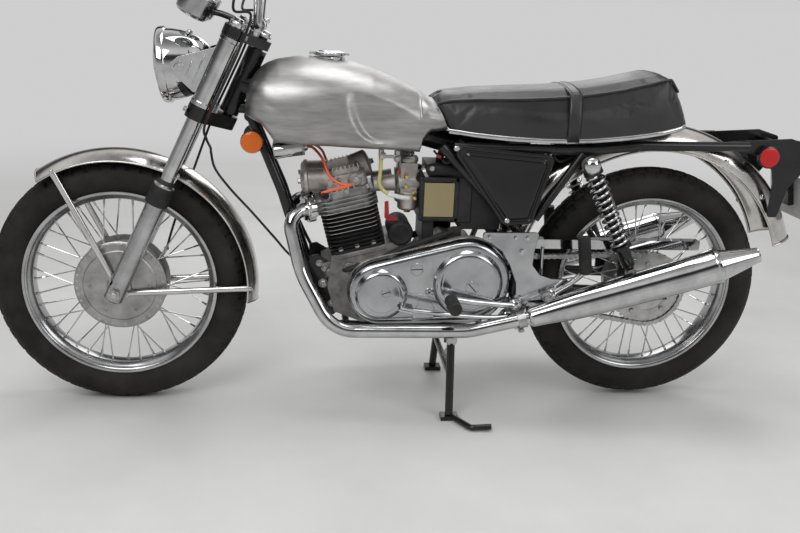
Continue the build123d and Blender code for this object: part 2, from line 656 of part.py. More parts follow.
with BuildPart() as silencers:
    for side, _ in BOTH:
        start = at(HEADER[-1][0], side * HEADER[-1][1], HEADER[-1][2])
        end = at(SILENCER_END[0], side * SILENCER_END[1], SILENCER_END[2])
        axis = (end - start).normalized()
        turned(start + axis * 1.3, axis, SILENCER_PROFILE)
        rod(at(1128, side * (FOOT_Y + 5 + SEAT_GAP), 332), at(1128, side * 190, 332), 7)
save(silencers, "silencers")

# Tank, seat and panels
TANK_SECTIONS = (
    (338, 92, 786, 856), (376, 128, 752, 918), (450, 145, 727, 941), (560, 147, 721, 940),
    (650, 134, 719, 918), (745, 114, 717, 878), (852, 98, 719, 836))
SEAT_SECTIONS = (
    (806, 98, 774, 851), (915, 120, 763, 869), (1110, 128, 755, 884), (1300, 128, 766, 903), (1420, 124,
            786, 930),
    (1492, 106, 806, 886))
JOIN_LINE = ((816, 860), (860, 765))


def pillow(sections, roundness):
    """Closed soft-cornered body lofted through upright rounded sections."""
    faces = []
    for station, half, low, high in sections:
        with BuildSketch(Plane(origin=at(station, 0, (low + high) / 2), x_dir=(0, 1, 0),
                               z_dir=(1, 0, 0))) as face:
            RectangleRounded(2 * half, high - low, roundness * (high - low))
        faces.append(face.sketch)
    loft(faces)


TUNNEL_TOP = 899.0
HEAD_NOTCH = 34.0
CAP_AT = (546, 940)
with BuildPart() as fuel_tank:
    pillow(TANK_SECTIONS, 0.42)
    block(at(600, 0, (700 + TUNNEL_TOP) / 2), (560, 2 * TUNNEL_HALF, TUNNEL_TOP - 700), mode=Mode.SUBTRACT)
    (top_s, top_z), (low_s, low_z) = JOIN_LINE
    side_plate(((top_s - 1, top_z), (low_s - 1, low_z), (low_s - 1, 700), (1000, 700), (1000, 1000),
                (top_s - 47, 960)), 0, 400,
               mode=Mode.SUBTRACT)
    side_plate(((778, 700), (790, 770), (900, 770), (900, 700)), 0, 400, mode=Mode.SUBTRACT)
    block(at(350, 0, 900), (116, 2 * HEAD_NOTCH, 200), mode=Mode.SUBTRACT)
    disc(at(CAP_AT[0], 0, CAP_AT[1] - 4), (0, 0, 1), 36, 20)
save(fuel_tank, "fuel_tank")

CAP_R = 40.0
CAP_TOP = CAP_AT[1] + 6
with BuildPart() as filler_cap:
    disc(at(CAP_AT[0], 0, CAP_TOP + 7), (0, 0, 1), CAP_R, 13.4)
    disc(at(CAP_AT[0], 0, CAP_TOP + 12), (0, 0, 1), CAP_R - 7, 12)
    block(at(CAP_AT[0] - CAP_R - 2, 0, CAP_TOP + 7), (14, 20, 10))
save(filler_cap, "filler_cap")

with BuildPart() as seat:
    pillow(SEAT_SECTIONS, 0.36)
    for side, _ in BOTH:
        for station, height in ((930, 748), (1110, 748), (1320, 759)):
            rod(at(station, side * RAIL_Y, height), at(station, side * RAIL_Y, 792), 12)
    side_plate(((top_s + 1, top_z), (low_s + 1, low_z), (low_s + 1, 700), (700, 700), (700, 1000),
                (top_s - 45, 960)), 0, 400,
               mode=Mode.SUBTRACT)
save(seat, "seat")

PANEL_Y = 126.0
with BuildPart() as side_panels:
    for side, _ in BOTH:
        side_plate(((848, 744), (1130, 722), (1080, 540), (1004, 534)), side * PANEL_Y, 10, 12)
        side_plate(((880, 728), (1106, 712), (1066, 556), (1012, 552)), side * (PANEL_Y + 6), 6, 12)
save(side_panels, "side_panels")

# Rear end
REAR_GUARD_CLEAR = 104.0
REAR_GUARD_R = TYRE_R + REAR_GUARD_CLEAR
REAR_GUARD_HALF = 72.0
REAR_GUARD_DEEP = 38.0
REAR_GUARD_FROM = 22.0
REAR_GUARD_ARC = 140.0
with BuildPart() as rear_mudguard:
    mudguard(REAR_CENTRE, REAR_GUARD_R, REAR_GUARD_HALF, REAR_GUARD_DEEP, REAR_GUARD_FROM, REAR_GUARD_ARC)
    for side, _ in BOTH:
        for station, height in ((1372, 744), (1480, 747)):
            rod(at(station, side * 66, height), at(station, side * (RAIL_Y - CRADLE_R - SEAT_GAP), height),
                5)
save(rear_mudguard, "rear_mudguard")

TAIL_Y = RAIL_Y - CRADLE_R - SEAT_GAP - 2
with BuildPart() as tail_bracket:
    for side, _ in BOTH:
        side_plate(((1600, 764), (1780, 776), (1840, 758), (1800, 700), (1740, 690), (1680, 736),
                    (1600, 740)), side * TAIL_Y, 4)
    block(at(1812, 0, 745), (74.5, 2 * TAIL_Y, 4), -20)
    block(at(1837.5, 0, 665), (8, 60, 170), 10)
    block(at(1850, 0, 606), (3, 230, 130), 10)
    for side, _ in BOTH:
        disc(at(1850, side * 75, 606), (cos(radians(10)), 0, sin(radians(10))), 3.2, 9, mode=Mode.SUBTRACT)
save(tail_bracket, "tail_bracket")

with BuildPart() as tail_lamp:
    block(at(TAIL_REACH - 30, 0, 716), (44, 84, 66))
    block(at(TAIL_REACH - 6, 0, 716), (12, 92, 74))
save(tail_lamp, "tail_lamp")

REFLECTOR_R = 28.0
with BuildPart() as rear_reflectors:
    for side, _ in BOTH:
        disc(at(1716, side * (TAIL_Y + 2 + SEAT_GAP + 10), 727), CROSS, REFLECTOR_R, 20)
save(rear_reflectors, "rear_reflectors")

with BuildPart() as front_reflectors:
    for side, _ in BOTH:
        disc(at(350, side * 66, 728), CROSS, REFLECTOR_R, 16)
        rod(at(363.2, side * 42.05, 730.2), at(353, side * 60, 728), 6)
save(front_reflectors, "front_reflectors")

with BuildPart() as ignition_coils:
    for side, _ in BOTH:
        rod(at(404, side * 22, 699), at(482, side * 22, 712), 21)
    rod(at(443, 0, 704), at(443, 0, 783), 8)
save(ignition_coils, "ignition_coils")

with BuildPart() as shocks:
    for side, _ in BOTH:
        top = at(SHOCK_TOP[0], side * SHOCK_Y, SHOCK_TOP[1])
        low = at(SHOCK_LOW[0], side * SHOCK_Y, SHOCK_LOW[1])
        line = (low - top).normalized()
        turned(top, line, ((-16, 12), (14, 12), (14, 30), (24, 30), (24, 29), (230, 29), (232, 31),
                           (244, 31), (246, 21), (298, 19), (304, 13), (338, 12)))
        disc(top, CROSS, 17, 30)
        disc(low, CROSS, 16, 28)
save(shocks, "shocks")

# Drive chain, guard, foot plates and controls
CHAIN_Y = -66.0
CHAIN_PITCH = 15.875
REAR_TEETH = 42
GEARBOX_TEETH = 19
CHAIN_HALF_HIGH = 7.5
REAR_PITCH_R = CHAIN_PITCH / (2 * sin(pi / REAR_TEETH))
GEARBOX_PITCH_R = CHAIN_PITCH / (2 * sin(pi / GEARBOX_TEETH))


def chain_loop(offset):
    """Hull of the two sprockets' pitch circles, grown by an offset."""
    with BuildSketch(Plane(origin=(0, CHAIN_Y, 0), x_dir=(1, 0, 0), z_dir=(0, -1, 0))) as outline:
        with Locations((MAINSHAFT.X, MAINSHAFT.Z)):
            Circle(GEARBOX_PITCH_R + offset)
        with Locations((REAR_X, REAR_Z)):
            Circle(REAR_PITCH_R + offset)
        make_hull()
    return outline.sketch


with BuildPart() as chain:
    extrude(chain_loop(CHAIN_HALF_HIGH), amount=8, both=True)
    extrude(chain_loop(-CHAIN_HALF_HIGH), amount=9, both=True, mode=Mode.SUBTRACT)
save(chain, "chain")

with BuildPart() as rear_sprocket:
    disc(REAR_CENTRE + CROSS * CHAIN_Y, CROSS, REAR_PITCH_R - CHAIN_HALF_HIGH - FIT, 7)
    disc(REAR_CENTRE + CROSS * (CHAIN_Y + 9), CROSS, 88, 20)
    disc(REAR_CENTRE + CROSS * CHAIN_Y, CROSS, AXLE_R + FIT, 60, mode=Mode.SUBTRACT)
save(rear_sprocket, "rear_sprocket")

with BuildPart() as chain_guard:
    block(at(1336, -73, 486), (460, 30, 3))
    block(at(1336, -87, 474), (460, 3, 24))
    block(at(1352, -90, 445.2), (24, 6, 49.8))
    rod(at(1125, -89, 466), at(1125, -93.5, 368.8), 5)
save(chain_guard, "chain_guard")

with BuildPart() as footrest_plates:
    for side, _ in BOTH:
        side_plate(((938, 526), (1100, 528), (1086, 464), (1100, 420), (1150, 372), (1176, 340),
                    (1120, 318), (1040, 292),
                    (1000, 268), (1040, 340), (1040, 400), (1030, 450), (990, 498)), side * FOOT_Y, 10, 3)
        rod(upright(0.86, side, CRADLE_R + 2 * SEAT_GAP), upright(0.86, side, FOOT_Y - UPRIGHT_TOP[1]), 9)
        rod(upright(0.34, side, CRADLE_R + 2 * SEAT_GAP), upright(0.34, side, FOOT_Y - UPRIGHT_TOP[1]), 12)
save(footrest_plates, "footrest_plates")

with BuildPart() as footrests:
    for side, _ in BOTH:
        rod(at(862, side * 216, 356), at(862, side * 292, 357), 17)
        disc(at(1046, side * (FOOT_Y + 13.5), 326), CROSS, 13, 16)
        rod(at(1046, side * (FOOT_Y + 14), 326), at(862, side * 218, 352), 9)
        rod(at(1208, side * 178, 520), at(1222, side * 178, 424), 17)
        disc(at(1146, side * (FOOT_Y + 11.3), 357), CROSS, 12, 12)
        rod(at(1146, side * (FOOT_Y + 13), 357), at(1221, side * 176, 430), 8)
save(footrests, "footrests")

with BuildPart() as foot_controls:
    disc(at(1024, -FOOT_Y - 14.5, 296), CROSS, 14, 18)
    rod(at(1024, -FOOT_Y - 20, 296), at(944, -184, 300), 7)
    rod(at(944, -184, 300), at(752, -214, 330), 7)
    block(at(742, -222, 340), (36, 46, 14))
    disc(at(850, 131.5, 350), CROSS, 11, 18)
    rod(at(850, 132, 350), at(740, 168, 352), 8)
    rod(at(740, 150, 352), at(740, 206, 352), 12)
    disc(at(946, 131.5, 372), CROSS, 14, 18)
    rod(at(946, 132, 372), at(1010, 172, 500), 9)
    rod(at(1010, 164, 500), at(1010, 240, 500), 11)
save(foot_controls, "foot_controls")

# Centre stand
FOOT_OUT = 170.0
STAND_R = 11.0
FOOT_S = 882.0
SHOE_TALL = 12.0
with BuildPart() as centre_stand:
    pivot = at(STAND_PIVOT[0], 0, STAND_PIVOT[1])
    rod(pivot - CROSS * (LUG_Y + 14), pivot + CROSS * (LUG_Y + 14), STAND_PIN_R)
    for side, _ in BOTH:
        foot = at(FOOT_S, side * FOOT_OUT, SHOE_TALL)
        disc(pivot + CROSS * side * (LUG_Y + 14), CROSS, 15, 18)
        rod(pivot + CROSS * side * (LUG_Y + 14), foot, STAND_R)
        block(at(FOOT_S, side * FOOT_OUT, SHOE_TALL / 2), (48, 34, SHOE_TALL))
    rod(at(884.5, -136, 114), at(884.5, 136, 114), 9)
    bent((at(FOOT_S + 8, -178, 9), at(930, -246, 10), at(984, -250, 14)), (14,), 8)
save(centre_stand, "centre_stand")
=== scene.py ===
"""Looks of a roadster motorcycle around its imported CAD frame. Metres: +X rear, -Y its left side, +Z up."""
from math import asin, atan2, cos, pi, radians, sin, sqrt

import bmesh
import bpy
from mathutils import Matrix, Vector


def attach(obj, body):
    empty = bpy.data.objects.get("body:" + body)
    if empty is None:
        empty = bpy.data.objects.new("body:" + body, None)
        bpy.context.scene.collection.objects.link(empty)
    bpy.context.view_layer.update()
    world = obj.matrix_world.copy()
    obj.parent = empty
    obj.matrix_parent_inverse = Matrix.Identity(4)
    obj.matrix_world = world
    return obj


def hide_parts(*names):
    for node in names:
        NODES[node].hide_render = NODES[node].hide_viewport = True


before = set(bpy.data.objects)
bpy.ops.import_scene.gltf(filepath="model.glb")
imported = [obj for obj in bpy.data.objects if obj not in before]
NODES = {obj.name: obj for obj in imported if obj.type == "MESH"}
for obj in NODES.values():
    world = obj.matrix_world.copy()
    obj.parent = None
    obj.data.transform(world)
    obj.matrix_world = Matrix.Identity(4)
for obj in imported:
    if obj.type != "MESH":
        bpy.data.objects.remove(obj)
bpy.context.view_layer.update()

SIDES = (-1, 1)
WORD = {-1: "left", 1: "right"}
AXLE_STATION = 783.0
FRONT_HUB = Vector((-0.783, 0, 0.334))
REAR_HUB = Vector((0.657, 0, 0.342))
ACROSS = Vector((0, 1, 0))
OUT = {-1: -ACROSS, 1: ACROSS}
UP = Vector((0, 0, 1))


def at(station, y, z):
    """Point at a distance in millimetres behind the front axle, across and above the ground."""
    return Vector(((station - AXLE_STATION) / 1000, y / 1000, z / 1000))


def mirrored(place, side):
    """Point of a named place, on one side of the machine."""
    station, y, z = place
    return at(station, side * y, z)


def around(centre, angle, radius, y=0.0):
    """Point on a circle in side view, and a distance across from it."""
    return centre + Vector((cos(angle) * radius, y, sin(angle) * radius))


def mm(*pairs):
    """Pairs of millimetres, in metres."""
    return [(a / 1000, r / 1000) for a, r in pairs]


# Camera, at the photograph's place and angle
CAMERA_AT = Vector((-0.29383, -2.33546, 1.09195))
CAMERA_LENS, CAMERA_SENSOR = 39.757, 36
CAMERA_YAW, CAMERA_PITCH, CAMERA_ROLL = radians(-6.376), radians(16.834), radians(2.393)


def make_camera():
    """Camera turned by its yaw, pitch and roll."""
    forward = Vector((-sin(CAMERA_YAW) * cos(CAMERA_PITCH),
        cos(CAMERA_YAW) * cos(CAMERA_PITCH), -sin(CAMERA_PITCH)))
    level = Vector((cos(CAMERA_YAW), sin(CAMERA_YAW), 0))
    above = level.cross(forward)
    right = level * cos(CAMERA_ROLL) + above * sin(CAMERA_ROLL)
    up = above * cos(CAMERA_ROLL) - level * sin(CAMERA_ROLL)
    data = bpy.data.cameras.new("camera")
    data.lens = CAMERA_LENS
    data.sensor_width = CAMERA_SENSOR
    camera = bpy.data.objects.new("camera", data)
    bpy.context.scene.collection.objects.link(camera)
    turn = Matrix((right, up, -forward)).transposed().to_4x4()
    camera.matrix_world = Matrix.Translation(CAMERA_AT) @ turn
    bpy.context.scene.camera = camera


make_camera()


# Materials
MIDDLE = (0.3, 0.7)
WHOLE = (0.0, 1.0)
PATCH_SPAN = (0.35, 0.65)


def nodes_of(name):
    """New material, its node tree and its surface shader."""
    material = bpy.data.materials.new(name)
    material.use_nodes = True
    tree = material.node_tree
    shader = next(n for n in tree.nodes if n.type == "BSDF_PRINCIPLED")
    return material, tree, shader


def set_values(node, **values):
    """Sets inputs of a node by their names, with underscores for spaces."""
    for key, value in values.items():
        node.inputs[key.replace("_", " ")].default_value = value


def node_of(tree, kind, links=(), **values):
    """New shader node with linked inputs, as pairs of an input and its source, and with set inputs."""
    node = tree.nodes.new("ShaderNode" + kind)
    set_values(node, **values)
    for key, source in links:
        tree.links.new(source, node.inputs[key])
    return node


def maths(tree, operation, *terms):
    """Result of one operation on numbers and sockets."""
    node = tree.nodes.new("ShaderNodeMath")
    node.operation = operation
    for socket, term in zip(node.inputs, terms):
        if isinstance(term, float):
            socket.default_value = term
        else:
            tree.links.new(term, socket)
    return node.outputs["Value"]


def texture(tree, kind, place, **values):
    """Texture read at a place."""
    return node_of(tree, "Tex" + kind, (("Vector", place),), **values)


def placed(tree, stretch=(1, 1, 1), **values):
    """Object coordinates, stretched along each axis."""
    coords = node_of(tree, "TexCoord")
    mapping = node_of(tree, "Mapping", (("Vector", coords.outputs["Object"]),), Scale=stretch, **values)
    return mapping.outputs["Vector"]


def ranged(tree, source, span, low=0.0, high=1.0):
    """A span of a source's values, mapped onto another."""
    node = node_of(tree, "MapRange", (("Value", source),), From_Min=span[0],
        From_Max=span[1], To_Min=low, To_Max=high)
    return node.outputs["Result"]


def spread_to(tree, source, low, high, target, span=MIDDLE):
    """Maps a texture's middle range onto a socket."""
    tree.links.new(ranged(tree, source, span, low, high), target)


def mixed(tree, amount, first, second, target):
    """Mixes two colours onto a socket."""
    node = tree.nodes.new("ShaderNodeMix")
    node.data_type = "RGBA"
    node.inputs["A"].default_value = (*first, 1)
    node.inputs["B"].default_value = (*second, 1)
    tree.links.new(amount, node.inputs["Factor"])
    tree.links.new(node.outputs["Result"], target)


def bump_of(tree, height, strength, depth, under=None):
    """Normal of a bump from a height, laid over another normal if one is given."""
    links = [("Height", height)]
    if under is not None:
        links.append(("Normal", under))
    return node_of(tree, "Bump", links, Strength=strength, Distance=depth).outputs["Normal"]


def finish(name, dark, light, metal=0.0, rough=(0.3, 0.5), grain=400.0, bump=0.05,
           patch=9.0, stretch=(1, 1, 1),
           coat=0.0, depth=0.0004, gleam=0.5):
    """Surface whose colour drifts in patches, and whose roughness and bump follow a finer grain."""
    material, tree, shader = nodes_of(name)
    place = placed(tree, stretch)
    patches = texture(tree, "Noise", place, Scale=patch, Detail=5.0, Roughness=0.6).outputs["Fac"]
    fine = texture(tree, "Noise", place, Scale=grain, Detail=4.0, Roughness=0.55).outputs["Fac"]
    mixed(tree, ranged(tree, patches, PATCH_SPAN), dark, light, shader.inputs["Base Color"])
    blend = maths(tree, "MULTIPLY_ADD", patches, 0.5, maths(tree, "MULTIPLY", fine, 0.5))
    spread_to(tree, blend, *rough, shader.inputs["Roughness"])
    tree.links.new(bump_of(tree, fine, bump, depth), shader.inputs["Normal"])
    set_values(shader, Metallic=metal, Specular_IOR_Level=gleam)
    if coat:
        set_values(shader, Coat_Weight=coat, Coat_Roughness=0.06)
    return material


def leather(name, dark, light, rough, cell, bump):
    """Grained vinyl: small cells with soft creases over a slow drift of colour."""
    material, tree, shader = nodes_of(name)
    place = placed(tree)
    cells = texture(tree, "Voronoi", place, Scale=cell)
    cells.feature = "SMOOTH_F1"
    patches = texture(tree, "Noise", place, Scale=7.0, Detail=6.0, Roughness=0.6).outputs["Fac"]
    folds = texture(tree, "Noise", placed(tree, (1, 3.2, 1)), Scale=14.0, Detail=3.0,
        Roughness=0.5).outputs["Fac"]
    mixed(tree, patches, dark, light, shader.inputs["Base Color"])
    spread_to(tree, patches, *rough, shader.inputs["Roughness"])
    grain = bump_of(tree, cells.outputs["Distance"], bump, 0.0006)
    tree.links.new(bump_of(tree, folds, 0.16, 0.012, grain), shader.inputs["Normal"])
    set_values(shader, Specular_IOR_Level=0.45)
    return material


def ribbed_lens(name, dark, light, pitch):
    """Moulded coloured lens: fine square facets under a clear gloss."""
    material, tree, shader = nodes_of(name)
    place = placed(tree, (pitch, pitch, pitch))
    checks = texture(tree, "Voronoi", place, Scale=1.0, Randomness=0.0).outputs["Distance"]
    mixed(tree, checks, light, dark, shader.inputs["Base Color"])
    tree.links.new(bump_of(tree, checks, 0.5, 0.001), shader.inputs["Normal"])
    spread_to(tree, checks, 0.18, 0.3, shader.inputs["Roughness"])
    set_values(shader, Specular_IOR_Level=0.25, Coat_Weight=0.35, Coat_Roughness=0.05)
    return material


def glass(name):
    """Clear glass with a faint haze."""
    material, tree, shader = nodes_of(name)
    haze = texture(tree, "Noise", placed(tree), Scale=60.0, Detail=4.0).outputs["Fac"]
    mixed(tree, haze, (0.93, 0.95, 0.96), (0.99, 1.0, 1.0), shader.inputs["Base Color"])
    spread_to(tree, haze, 0.01, 0.06, shader.inputs["Roughness"])
    set_values(shader, Transmission_Weight=1.0, IOR=1.46)
    return material


def perforated(name):
    """Brassy sheet with staggered round holes."""
    material, tree, shader = nodes_of(name)
    place = placed(tree, (122, 0, 122), Rotation=(0, pi / 4, 0), Location=(0, 0.5, 0))
    holes = texture(tree, "Voronoi", place, Scale=1.0, Randomness=0.12).outputs["Distance"]
    solid = ranged(tree, holes, (0.33, 0.41))
    mixed(tree, solid, (0.006, 0.006, 0.006), (0.36, 0.3, 0.17), shader.inputs["Base Color"])
    spread_to(tree, solid, 0.5, 0.32, shader.inputs["Roughness"], WHOLE)
    spread_to(tree, solid, 0.0, 0.9, shader.inputs["Metallic"], WHOLE)
    tree.links.new(bump_of(tree, solid, 0.6, 0.001), shader.inputs["Normal"])
    return material


TYRE = finish("tyre_rubber", (0.009, 0.0082, 0.0076), (0.029, 0.0265, 0.0245),
    rough=(0.55, 0.8), grain=260, bump=0.25, gleam=0.2)
POLISHED = finish("polished_alloy", (0.34, 0.34, 0.345), (0.5, 0.505, 0.51), 1.0,
    (0.12, 0.3), 320, 0.05, 14)
BRIGHT = finish("bright_alloy", (0.54, 0.525, 0.51), (0.66, 0.645, 0.63), 1.0, (0.14, 0.26), 320, 0.04, 10)
HUB = finish("dull_alloy", (0.28, 0.275, 0.27), (0.44, 0.435, 0.43), 1.0, (0.3, 0.5), 260, 0.12, 22)
CAST = finish("cast_alloy", (0.32, 0.295, 0.275), (0.58, 0.545, 0.51), 0.85, (0.42, 0.66), 520, 0.35, 18)
CASE = finish("case_alloy", (0.13, 0.125, 0.12), (0.3, 0.29, 0.28), 0.85, (0.42, 0.64), 520, 0.35, 22)
CHROME = finish("chrome", (0.46, 0.46, 0.465), (0.6, 0.602, 0.605), 1.0, (0.03, 0.09), 140, 0.01, 20)
STAINLESS = finish("stainless", (0.5, 0.48, 0.45), (0.66, 0.64, 0.61), 1.0, (0.12, 0.24), 160, 0.03, 16)
PAINT = finish("black_paint", (0.006, 0.006, 0.007), (0.013, 0.013, 0.014), 0.0,
    (0.22, 0.38), 90, 0.06, 12, coat=0.5, gleam=0.2)
GLOSS = finish("gloss_black", (0.004, 0.004, 0.005), (0.008, 0.008, 0.009), 0.0,
    (0.08, 0.16), 30, 0.02, 8, coat=0.6, gleam=0.15)
STEEL = finish("zinc_steel", (0.34, 0.34, 0.34), (0.52, 0.51, 0.5), 1.0, (0.25, 0.45), 300, 0.1, 40)
BLACK_FIN = finish("black_fins", (0.006, 0.006, 0.006), (0.022, 0.021, 0.021), 0.1,
    (0.42, 0.62), 420, 0.3, 30, gleam=0.25)
PLASTIC = finish("black_plastic", (0.012, 0.012, 0.012), (0.028, 0.028, 0.028), 0.0,
    (0.42, 0.58), 700, 0.2, 20, gleam=0.3)
RUBBER = finish("black_rubber", (0.01, 0.01, 0.01), (0.03, 0.029, 0.028), 0.0, (0.5, 0.72),
    500, 0.25, 30, gleam=0.3)
TANK = finish("bare_tank", (0.29, 0.285, 0.28), (0.42, 0.415, 0.41), 1.0, (0.34, 0.48), 60, 0.05, 9,
    (1, 1, 6), depth=0.0003)
VINYL = leather("black_vinyl", (0.013, 0.013, 0.014), (0.036, 0.036, 0.038), (0.26, 0.42), 750.0, 0.35)
AMBER = ribbed_lens("amber_lens", (0.5, 0.07, 0.004), (0.82, 0.19, 0.014), 260.0)
RED = ribbed_lens("red_lens", (0.35, 0.004, 0.006), (0.7, 0.02, 0.02), 260.0)
BRASS = finish("brass", (0.5, 0.36, 0.14), (0.72, 0.55, 0.26), 1.0, (0.25, 0.45), 300, 0.1, 40)
DARK = finish("dark_inside", (0.006, 0.006, 0.006), (0.016, 0.016, 0.016), 0.0, (0.6, 0.8),
    200, 0.1, 20, gleam=0.2)
DULL_PLATE = finish("plate_grey", (0.42, 0.42, 0.42), (0.55, 0.55, 0.54), 0.3, (0.4, 0.6), 200, 0.08, 20)
RED_CAP = finish("red_rubber", (0.2, 0.008, 0.006), (0.36, 0.02, 0.014), 0.0, (0.35, 0.5), 300, 0.1, 30)
FUEL_LINE = finish("clear_hose", (0.5, 0.42, 0.16), (0.68, 0.6, 0.3), 0.0, (0.15, 0.3), 200, 0.05, 40)
LENS = glass("clear_glass")
DIAL_WHITE = finish("dial_white", (0.7, 0.7, 0.68), (0.85, 0.85, 0.83), 0.0, (0.4, 0.5), 300, 0.02, 30)
HEAD_FIN = finish("head_fins", (0.2, 0.2, 0.2), (0.42, 0.42, 0.41), 0.9, (0.34, 0.55), 420, 0.25, 30)
ORANGE_LEAD = finish("orange_lead", (0.72, 0.09, 0.03), (0.88, 0.16, 0.06), 0.0, (0.3, 0.45), 300, 0.05, 30)
COVER = finish("cover_alloy", (0.34, 0.345, 0.355), (0.48, 0.485, 0.495), 1.0, (0.1, 0.22), 200, 0.02, 12)
FILTER = perforated("filter_sheet")

# Slot names, and the materials listed under each
SLOTS = {
    "tyre_rubber": (TYRE,), "polished_alloy": (POLISHED, BRIGHT, HUB, STAINLESS, COVER),
    "cast_alloy": (CAST, CASE, HEAD_FIN), "chrome_plate": (CHROME,), "black_paint": (PAINT,),
    "black_gloss": (GLOSS,), "steel": (STEEL,), "black_plastic": (BLACK_FIN, PLASTIC, DARK),
    "black_rubber": (RUBBER,), "bare_tank": (TANK,), "black_vinyl": (VINYL,), "amber_lens": (AMBER,),
    "red_lens": (RED,),
}
SLOT_OF = {material.name: slot for slot, materials in SLOTS.items() for material in materials}

NODE_FINISH = {
    "front_tyre": TYRE, "rear_tyre": TYRE, "front_wheel": HUB, "rear_wheel": HUB, "yokes": PAINT,
    "fork_legs": POLISHED, "front_axle": STEEL, "brake_plate": BRIGHT, "headlamp": CHROME,
    "headlamp_brackets": CHROME, "instruments": POLISHED, "handlebar": CHROME, "grips": RUBBER,
    "front_mudguard": STAINLESS, "frame_spine": PAINT, "frame_cradle": PAINT, "rear_frame": PAINT,
    "swingarm": PAINT, "rear_axle": STEEL, "cylinder_barrel": BLACK_FIN, "cylinder_head": CAST,
    "crankcase": CASE, "primary_cover": POLISHED, "timing_cover": POLISHED, "gearbox": CASE,
    "starter_motor": PAINT, "carburettors": CAST, "air_box": PLASTIC, "headers": CHROME,
    "silencers": CHROME, "fuel_tank": TANK, "filler_cap": CHROME, "seat": VINYL, "side_panels": GLOSS,
    "rear_mudguard": STAINLESS, "tail_bracket": PAINT, "tail_lamp": RED, "rear_reflectors": RED,
    "front_reflectors": AMBER, "ignition_coils": CAST, "shocks": CHROME, "chain": STEEL,
    "rear_sprocket": STEEL, "chain_guard": CHROME, "footrest_plates": CAST, "footrests": RUBBER,
    "foot_controls": CHROME, "centre_stand": PAINT,
}
for node_name, node_material in NODE_FINISH.items():
    for node_slot in NODES[node_name].material_slots:
        node_slot.material = node_material


# Forms made in code
BEVEL_ANGLE = radians(35)
WASHER = 0.0012
LEAST_R = 1e-5


